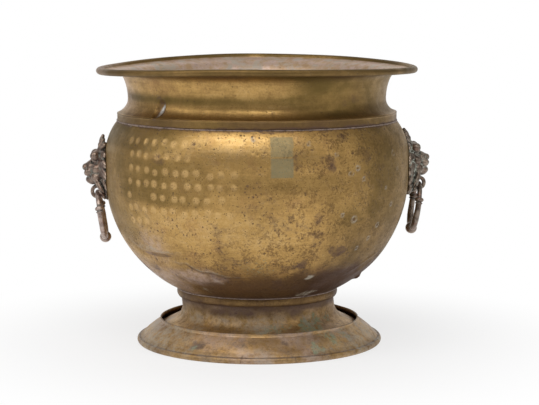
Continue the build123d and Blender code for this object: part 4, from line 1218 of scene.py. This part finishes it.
def carve_lion(centre_height, tilt, seed):
    """A lion mask in its own frame: x out of the bowl, y across, z up from the middle."""
    c = Carving((-24, -31, -42), (27.5, 31, 42), 0.62)
    rng = np.random.default_rng(seed)
    c.blob((-6, 0, -1), (11.0, 21, 29), 1)
    # locks of the mane, from the outside in; each is two strands that curl the same way
    rings = ((14, 16.5, 21.5, 24.5, 31.5, 0.8, 3.6, 2.4), (12, 13.5, 17, 20.5, 25.5, 2.8, 3.6, 2.5),
             (11, 10.5, 13, 16.5, 20.5, 4.6, 3.3, 2.4))
    for ring, (number, ay, az, by, bz, out, thick, thin) in enumerate(rings):
        for k in range(number):
            turn = 2 * math.pi * (k + 0.5 * (ring % 2) + 0.5) / number + rng.normal(0, 0.03)
            if ring == 2 and math.cos(turn) < -0.55:
                continue
            curl = (0.26 if math.sin(turn) > 0 else -0.26) * (1 + 0.3 * rng.normal())
            for strand in (-0.5, 0.5):
                path, size = [], []
                for t in (0.0, 0.35, 0.7, 1.0):
                    a = turn + curl * t * t + strand * 0.19 * (1 - 0.7 * t)
                    y = (ay + (by - ay) * t) * math.sin(a)
                    z = -1.5 + (az + (bz - az) * t) * math.cos(a)
                    lift = out - 2.6 * t**2 + 0.8 * math.sin(math.pi * t)
                    path.append((lift, y, z))
                    size.append(thick + (thin - thick) * t)
                c.stroke(path, size, 0.6)
    # tuft that lies against the bowl above the head
    for side, lean in ((0, 0.0), (-1, 3.6), (1, 3.6)):
        top = 38.0 - 4.5 * abs(side)
        c.stroke([(2.6, side * 1.6, 22), (2.2, side * 3.0, 27.5), (0.6, side * lean, top - 5),
                  (-0.9, side * lean * 1.1, top - 1)], [3.5, 3.3, 2.9, 1.9], 0.9)
    c.stroke([(5.4, 0, 24), (4.2, 0, 31)], [0.5, 0.3], 0.6, cut=True)
    # head
    c.blob((3.5, 0, 4), (9.5, 15.0, 17.0), 3)
    c.blob((5.6, 0, 13.5), (7.6, 12.0, 9.2), 2.5)
    c.blob((11.0, 0, 3.6), (10.6, 10.5, 8.4), 2.5)                              # muzzle
    c.blob((11.0, 0, -6.0), (9.4, 9.2, 7.6), 2.5)
    for s in (-1, 1):
        c.blob((8.6, s * 12.6, 2.8), (5.6, 5.4, 5.2), 1.2)                     # cheek knob
        c.blob((9.4, s * 10.6, -6.5), (6.4, 6.2, 6.0), 1.4)                    # jowl
        c.blob((9.4, s * 12.6, 17.0), (5.4, 5.2, 5.2), 1.0)                    # ear
        c.blob((14.6, s * 14.8, 17.6), (1.6, 1.6, 1.6), 0.9, None, cut=True)
        c.blob((9.9, s * 6.4, 16.4), (4.4, 5.6, 3.9), 1.2, ("x", s * -20))      # brow
        c.stroke([(10.6, s * 2.0, 20.2), (12.2, s * 2.3, 17.0), (12.6, s * 5.0, 15.2)], [1.0, 1.2, 0.8], 0.9)
        c.blob((12.6, s * 6.6, 10.2), (2.5, 3.4, 2.5), 1.0, None, cut=True)    # eye socket
        c.blob((10.3, s * 6.4, 10.3), (2.6, 2.8, 2.3), 0.5)                    # eyeball
        # upper and lower lid
        c.stroke([(12.0, s * 3.5, 10.4), (12.9, s * 6.0, 12.5), (10.6, s * 9.4, 11.0)], [0.8, 1.0, 0.6], 0.5)
        c.stroke([(11.8, s * 3.7, 9.4), (12.4, s * 6.2, 8.0), (10.6, s * 9.0, 9.4)], [0.7, 0.9, 0.5], 0.5)
        c.blob((17.0, s * 4.9, -0.9), (6.5, 5.6, 5.0), 1.3, ("z", s * 12))      # whisker pad
    c.stroke([(9.2, 0, 14.5), (13.4, 0, 8.6), (17.2, 0, 6.0), (20.8, 0, 4.8)], [3.4, 3.6, 3.7, 3.5], 2.0)
    c.blob((21.5, 0, 4.4), (3.5, 4.9, 3.6), 0.9)                               # nose
    c.stroke([(12.4, 0, 20), (12.6, 0, 15.5)], [0.55, 0.6], 0.8, cut=True)
    for s in (-1, 1):
        c.blob((24.3, s * 2.6, 3.2), (1.7, 1.3, 1.2), 0.5, None, cut=True)
        c.stroke([(20.9, s * 5.4, 6.8), (20.4, s * 6.0, 3.2)], [0.5, 0.6], 0.6, cut=True)
        for z, y in ((0.4, 5.0), (-2.0, 4.2), (-0.8, 7.3), (-2.8, 6.8), (1.6, 7.0)):
            x = 17.0 + 6.2 * math.sqrt(max(0.0, 1 - ((y - 4.9) / 5.6) ** 2 - ((z + 0.9) / 5.0) ** 2)) + 0.1
            c.blob((x, s * y, z), (0.8, 0.6, 0.6), 0.3, None, cut=True)        # whisker holes
    c.stroke([(23.9, 0, 1.4), (23.6, 0, -3.4)], [0.6, 0.7], 0.6, cut=True)     # lip cleft
    c.blob((14.6, 0, -9.4), (7.0, 6.8, 5.9), 0.9)                              # lower jaw and chin
    c.blob((17.9, 0, -9.2), (4.4, 4.8, 4.2), 0.8)
    for s in (1, -1):
        c.stroke([(23.2, 0, -5.0), (20.6, s * 5.4, -5.4), (14.4, s * 10.2, -6.2)],
                 [0.9, 1.0, 0.7], 0.45, cut=True)
    # beard each side of the eye lug
    for s in (-1, 1):
        for y0, y1, z1 in ((5.6, 6.6, -29), (8.8, 10.6, -31), (12.0, 14.6, -28), (15.0, 18.6, -23)):
            c.stroke([(9.5, s * y0, -10.5), (8.2, s * (y0 + y1) / 2, -16), (6.0, s * y1, z1 + 4),
                      (3.6, s * y1 * 0.96, z1)], [2.6, 2.9, 2.2, 1.0], 0.8)
    c.blob((3.0, 0, -22), (5.5, 10, 10.5), 1.5)
    # eye lug for the ring
    lug_x, lug_z = PIVOT_OUT, -PIVOT_DROP + 1.05
    at = c.near([(lug_x, 0, lug_z)], 14)
    q = c.p[at]
    round_hole = np.hypot(q[..., 0] - lug_x, q[..., 2] - lug_z)
    beyond_wall, beyond_width = np.abs(round_hole - 5.95) - 0.8, np.abs(q[..., 1]) - 2.3
    wall = np.hypot(np.maximum(beyond_wall, 0), np.maximum(beyond_width, 0)) - 1.15
    c.value[at] = soft_union(c.value[at], wall, 0.9)
    c.value[at] = np.maximum(c.value[at], 4.02 - round_hole)
    # pitted, hand-finished casting
    texture = 0.18 * noise(c.p, 4.5, seed) + 0.10 * noise(c.p, 2.0, seed + 1)
    c.value += texture.astype(np.float32)
    # room for the ring over its whole swing
    at = c.near([(0, -36, -42), (27, 36, 42)], 0)
    q = c.p[at]
    out = q[..., 0] - PIVOT_OUT
    up = q[..., 2] + PIVOT_DROP
    clear = np.abs(q[..., 1]) > 3.45
    for swing in np.arange(-12.5, 168, 4.0):
        a = math.radians(swing - (LEAN - tilt))
        down = out * math.sin(a) - up * math.cos(a)
        side = out * math.cos(a) + up * math.sin(a)
        place = np.hypot(q[..., 1], down - RING_R)
        turn = np.degrees(np.arctan2(np.abs(q[..., 1]), RING_R - down))
        size = np.where(turn < SHOULDERS - 7, RING_TOP + 0.15, np.where(turn < SHOULDERS + 8, 5.1, 4.3))
        room = np.hypot(place - RING_R, side) - size - 0.25
        knob = np.sqrt(q[..., 1] ** 2 + (down - 2 * RING_R) ** 2 + side**2) - KNOB - 0.6
        c.value[at] = np.where(clear, np.maximum(c.value[at], -room), c.value[at])
        c.value[at] = np.maximum(c.value[at], -knob)
    swing_room = np.hypot(out, up) - 4.6
    beside = (np.abs(q[..., 1]) > 3.6) & (np.abs(q[..., 1]) < 9)
    c.value[at] = np.where(beside, np.maximum(c.value[at], -swing_room), c.value[at])
    # the back follows the bowl
    lean = math.radians(tilt)
    out = c.p[..., 0] * math.cos(lean) + c.p[..., 2] * math.sin(lean)
    z = c.p[..., 2] * math.cos(lean) - c.p[..., 0] * math.sin(lean) + centre_height
    reach = np.hypot(out + BELLY, c.p[..., 1])
    low = np.hypot(reach - LOWER[0], z - LOWER[1]) - LOWER_ARC
    high = np.hypot(reach - SHOULDER[0], z - SHOULDER[1]) - SHOULDER_ARC
    bowl = np.where(z < LOWER[1], low, np.where(z > SHOULDER[1], high, reach - BELLY))
    c.value = np.maximum(c.value, 0.35 - bowl).astype(np.float32)
    c.value[[0, -1]] = c.value[:, [0, -1]] = c.value[:, :, [0, -1]] = 5.0
    return c


def biggest_piece(points, quads):
    """Only the largest connected part of a mesh."""
    label = np.arange(len(points))
    while True:
        low = label[quads].min(1)
        new = label.copy()
        for k in range(4):
            np.minimum.at(new, quads[:, k], low)
        new = new[new]
        if (new == label).all():
            break
        label = new
    names, counts = np.unique(label, return_counts=True)
    keep = label == names[counts.argmax()]
    number = np.cumsum(keep) - 1
    return points[keep], number[quads[keep[quads[:, 0]]]]


def pivot_of(side):
    joint = next(j for j in frame["joints"] if j["child"] == side + "_handle")
    return np.array(joint["pos_m"]) / MM


def make_lion(side, seed):
    facing = 1 if side == "right" else -1
    tilt = TILT[side]
    lean = math.radians(tilt)
    centre_height = pivot_of(side)[2] + PIVOT_DROP * math.cos(lean) + PIVOT_OUT * math.sin(lean)
    carving = carve_lion(centre_height, tilt, seed)
    points, quads = biggest_piece(*carving.mesh())
    # normals from the field, for painted shade and dust in the hollows and wear on the high points
    e = 0.6
    normal = np.stack([carving.sample(points + shift) - carving.sample(points - shift)
                       for shift in e * np.eye(3)], -1)
    normal /= np.maximum(np.linalg.norm(normal, axis=1), 1e-6)[:, None]
    openness = np.mean([carving.sample(points + d * normal) / d for d in (1.0, 2.0, 3.5)], 0)
    cavity = 1 - smoothstep(0.45, 0.95, openness)
    solid = np.mean([-carving.sample(points - d * normal) / d for d in (1.0, 2.0)], 0)
    high_point = (1 - smoothstep(0.45, 0.88, solid)) * smoothstep(0.75, 0.98, openness)
    x = points[:, 0] * math.cos(lean) + points[:, 2] * math.sin(lean) + BELLY
    z = points[:, 2] * math.cos(lean) - points[:, 0] * math.sin(lean) + centre_height
    world = np.stack([facing * x, facing * points[:, 1], z], -1)
    mask = make_mesh(side + "_lion_cast", world, quads, LION_BRASS[side], "pot",
                     [side + "_lion_mask"])
    paint(mask, cavity=cavity, high=high_point)


def make_ring(side, seed):
    facing = 1 if side == "right" else -1
    pivot = pivot_of(side)
    turn = np.linspace(-180, 180, 361)[:-1]
    near = np.arange(SHOULDERS - 10, SHOULDERS + 14, 0.5)
    low_end = np.arange(160, 180, 0.5)
    turn = np.unique(np.round(np.concatenate([turn, near, -near, low_end, -low_end]), 2))
    around = np.radians(np.arange(28) * 360.0 / 28)
    t = np.radians(turn)[:, None]
    size = ring_thickness(turn)[:, None] + 0 * around
    centre = np.stack([0 * t, RING_R * np.sin(t), RING_R * np.cos(t) - RING_R], -1)
    outward = np.stack([0 * t, np.sin(t), np.cos(t)], -1)
    sideways = np.array((1.0, 0, 0))
    rough = centre + outward * 4 * np.cos(around)[None, :, None] + 4 * sideways * np.sin(around)[None, :, None]
    free = smoothstep(20, 70, np.abs(turn))[:, None]
    size = size + free * (0.22 * noise(rough, 7.0, seed) + 0.1 * noise(rough, 2.6, seed + 1))
    points = centre + outward * (size * np.cos(around))[..., None] + sideways * (size * np.sin(around))[..., None]
    lean = math.radians(LEAN)
    x, z = points[..., 0].copy(), points[..., 2].copy()
    points[..., 0] = math.cos(lean) * x + math.sin(lean) * z
    points[..., 2] = -math.sin(lean) * x + math.cos(lean) * z
    if facing < 0:
        points = points * (-1, -1, 1)
    points = points + pivot
    faces = grid_faces(len(turn), 28, True)
    ring = make_mesh(side + "_ring_cast", points, faces, RING_BRASS[side], side + "_handle",
                     [side + "_ring"])
    # painted shade in the grooves beside the shoulder beads and near the knob, through the cavity paint
    grooves = ((SHOULDERS + 7, 2.4), (SHOULDERS - 7, 2.4), (166.5, 2.0), (160.0, 2.0))
    bead = sum(np.exp(-((np.abs(turn) - place) / width) ** 2) for place, width in grooves)
    worn = smoothstep(120, 180, np.abs(turn))[:, None] * (0.6 + 0.4 * np.cos(around))
    bead = bead[:, None] + 0 * around
    paint(ring, cavity=np.clip(0.9 * bead, 0, 1), high=np.clip(0.35 + 0.6 * worn, 0, 1))


# ------------------------------------------------------------------ fixings inside the bowl
def make_fixings(side, place):
    facing = 1 if side == "right" else -1
    prefix = f"{side}_{place}_"

    def lay(points, middle, height):
        """Lays points made round Z along X."""
        return np.stack([facing * points[..., 2] + middle, points[..., 0], points[..., 1] + height], -1)

    low, high = node_box(prefix + "stud")
    length, height = high[0] - low[0], (low[2] + high[2]) / 2
    rows = int(length / 0.12)
    t = np.linspace(-length / 2, length / 2, rows)[:, None]
    a = np.radians(np.arange(24) * 15.0)[None, :]
    thread = np.abs(((t / 0.7 - a / (2 * math.pi)) % 1.0) - 0.5) * 2
    size = 2.0 - 0.36 * thread - 0.35 * smoothstep(length / 2 - 0.5, length / 2, np.abs(t))
    body = np.stack([size * np.cos(a), size * np.sin(a), t + 0 * a], -1)
    ends = np.array([[(0, 0, -length / 2)], [(0, 0, length / 2)]])
    points = np.concatenate([ends[0], body.reshape(-1, 3), ends[1]])
    make_mesh(prefix + "stud_cut", lay(points, (low[0] + high[0]) / 2, height), capped_faces(rows, 24), STEEL,
              "pot", [prefix + "stud"])

    low, high = node_box(prefix + "washer")
    half = (high[0] - low[0]) / 2
    edge = 0.25
    section = [(6.0, -half + edge), (6.0, half - edge), (6.0 - edge, half), (2.3, half), (2.25, half - 0.1),
               (2.25, -half + 0.1), (2.3, -half), (6.0 - edge, -half)]
    turned = Turned(section, 48)
    make_mesh(prefix + "washer_cut", lay(turned.points(), (low[0] + high[0]) / 2, height),
              grid_faces(len(section), 48, True), STEEL, "pot", [prefix + "washer"], smooth=False)

    low, high = node_box(prefix + "nut")
    half = (high[0] - low[0]) / 2
    a = np.radians(np.arange(72) * 5.0)
    flat = 3.5 / np.cos((a + math.pi / 6) % (math.pi / 3) - math.pi / 6)
    rows = []
    for z, limit in ((-half, 3.42), (-half + 0.42, 9.0), (half - 0.42, 9.0), (half, 3.42)):
        r = np.minimum(flat, limit) if limit < 9 else flat
        rows.append(np.stack([r * np.cos(a), r * np.sin(a), np.full(72, z)], -1))
    for z, r in ((half, 2.25), (half - 0.25, 2.05), (-half + 0.25, 2.05), (-half, 2.25)):
        rows.append(np.stack([r * np.cos(a), r * np.sin(a), np.full(72, z)], -1))
    points = np.stack(rows)
    make_mesh(prefix + "nut_cut", lay(points, (low[0] + high[0]) / 2, height), grid_faces(8, 72, True),
              STEEL, "pot", [prefix + "nut"], smooth=False)


# ------------------------------------------------------------------ build
make_bowl()
make_neck()
make_spool()
make_collar()
make_base()
make_solder()
for number, side in enumerate(("left", "right")):
    make_lion(side, 300 + number)
    make_ring(side, 320 + number)
    for place in ("lower", "upper"):
        make_fixings(side, place)

# ------------------------------------------------------------------ floor, light and camera
def make_floor():
    n = Nodes("floor_paper")
    tone = n.noise(3.0, 3, 0.5)
    n.set(n.shader.inputs["Base Color"], n.ramp(tone, (0.3, (0.86, 0.87, 0.89)), (0.7, (0.90, 0.905, 0.92))))
    n.set(n.shader.inputs["Roughness"], n.between(n.noise(40.0, 3, 0.5), 0.3, 0.7, 0.75, 0.9))
    glow = n.add("ShaderNodeEmission")
    glow.inputs["Color"].default_value = (1, 1, 1, 1)
    glow.inputs["Strength"].default_value = 1.0
    far = n.add("ShaderNodeVectorMath", operation="LENGTH")
    n.link(n.where, far.inputs[0])
    share = n.between(far.outputs["Value"], 0.15, 0.42, 0.68, 1.0)
    mix = n.add("ShaderNodeMixShader")
    n.link(share, mix.inputs[0])
    n.link(n.shader.outputs[0], mix.inputs[1])
    n.link(glow.outputs[0], mix.inputs[2])
    n.link(mix.outputs[0], n.out.inputs[0])
    mesh = bpy.data.meshes.new("floor")
    ring = [(6 * math.cos(a), 6 * math.sin(a), 0.0) for a in np.linspace(0, 2 * math.pi, 65)[:-1]]
    mesh.from_pydata(ring, [], [list(range(64))])
    floor = bpy.data.objects.new("floor", mesh)
    bpy.context.scene.collection.objects.link(floor)
    mesh.materials.append(n.material)


def as_seen(azimuth, distance, height):
    """A place at an azimuth as the viewer sees it."""
    turn = math.radians(azimuth + TURN)
    return (distance * math.cos(turn), distance * math.sin(turn), height)


def area_light(name, place, size, power, colour=(1, 1, 1)):
    data = bpy.data.lights.new(name, "AREA")
    data.shape = "RECTANGLE"
    data.size, data.size_y = size
    data.energy = power
    data.color = colour
    lamp = bpy.data.objects.new(name, data)
    lamp.location = place
    lamp.rotation_euler = (Vector((0, 0, 0.2)) - Vector(place)).to_track_quat("-Z", "Y").to_euler()
    bpy.context.scene.collection.objects.link(lamp)


def make_world():
    """White to look at; in reflections bright behind the pot and overhead, dark on the viewer's side."""
    world = bpy.data.worlds.new("studio")
    bpy.context.scene.world = world
    n = Nodes("studio", world)
    split = n.add("ShaderNodeSeparateXYZ")
    n.link(n.where, split.inputs[0])
    colour = n.mix(n.between(split.outputs["Z"], 0.25, 0.85), (0.085, 0.072, 0.06), (0.42, 0.41, 0.39))
    colour = n.mix(n.between(split.outputs["Y"], 0.30, 0.97), colour, (0.98, 0.99, 1.0))
    seen, room = n.add("ShaderNodeBackground"), n.add("ShaderNodeBackground")
    seen.inputs[0].default_value = (1, 1, 1, 1)
    n.link(colour, room.inputs[0])
    mix = n.add("ShaderNodeMixShader")
    n.link(n.add("ShaderNodeLightPath").outputs["Is Camera Ray"], mix.inputs[0])
    n.link(room.outputs[0], mix.inputs[1])
    n.link(seen.outputs[0], mix.inputs[2])
    n.link(mix.outputs[0], n.out.inputs[0])


make_floor()
make_world()
area_light("key", as_seen(-102, 1.2, 1.75), (2.0, 1.3), 21)
area_light("side_left", as_seen(-160, 1.7, 0.9), (0.7, 1.0), 5.5)
area_light("side_right", as_seen(-22, 1.8, 0.9), (0.6, 1.0), 4)

CAMERA_ASIDE, CAMERA_AWAY, CAMERA_UP = 0.0137, 2.0, 0.403     # in metres from the pot's axis and the floor
CAMERA_DIP = 7.12                                             # degrees below level
camera_data = bpy.data.cameras.new("camera")
camera_data.sensor_width = 36.0
camera_data.lens = 122.19
camera = bpy.data.objects.new("camera", camera_data)
turn = math.radians(TURN)
camera.location = (CAMERA_ASIDE * math.cos(turn) + CAMERA_AWAY * math.sin(turn),
                   CAMERA_ASIDE * math.sin(turn) - CAMERA_AWAY * math.cos(turn), CAMERA_UP)
camera.rotation_euler = (math.radians(90 - CAMERA_DIP), 0, turn)
bpy.context.scene.collection.objects.link(camera)
bpy.context.scene.camera = camera
bpy.context.scene.view_settings.view_transform = "Standard"
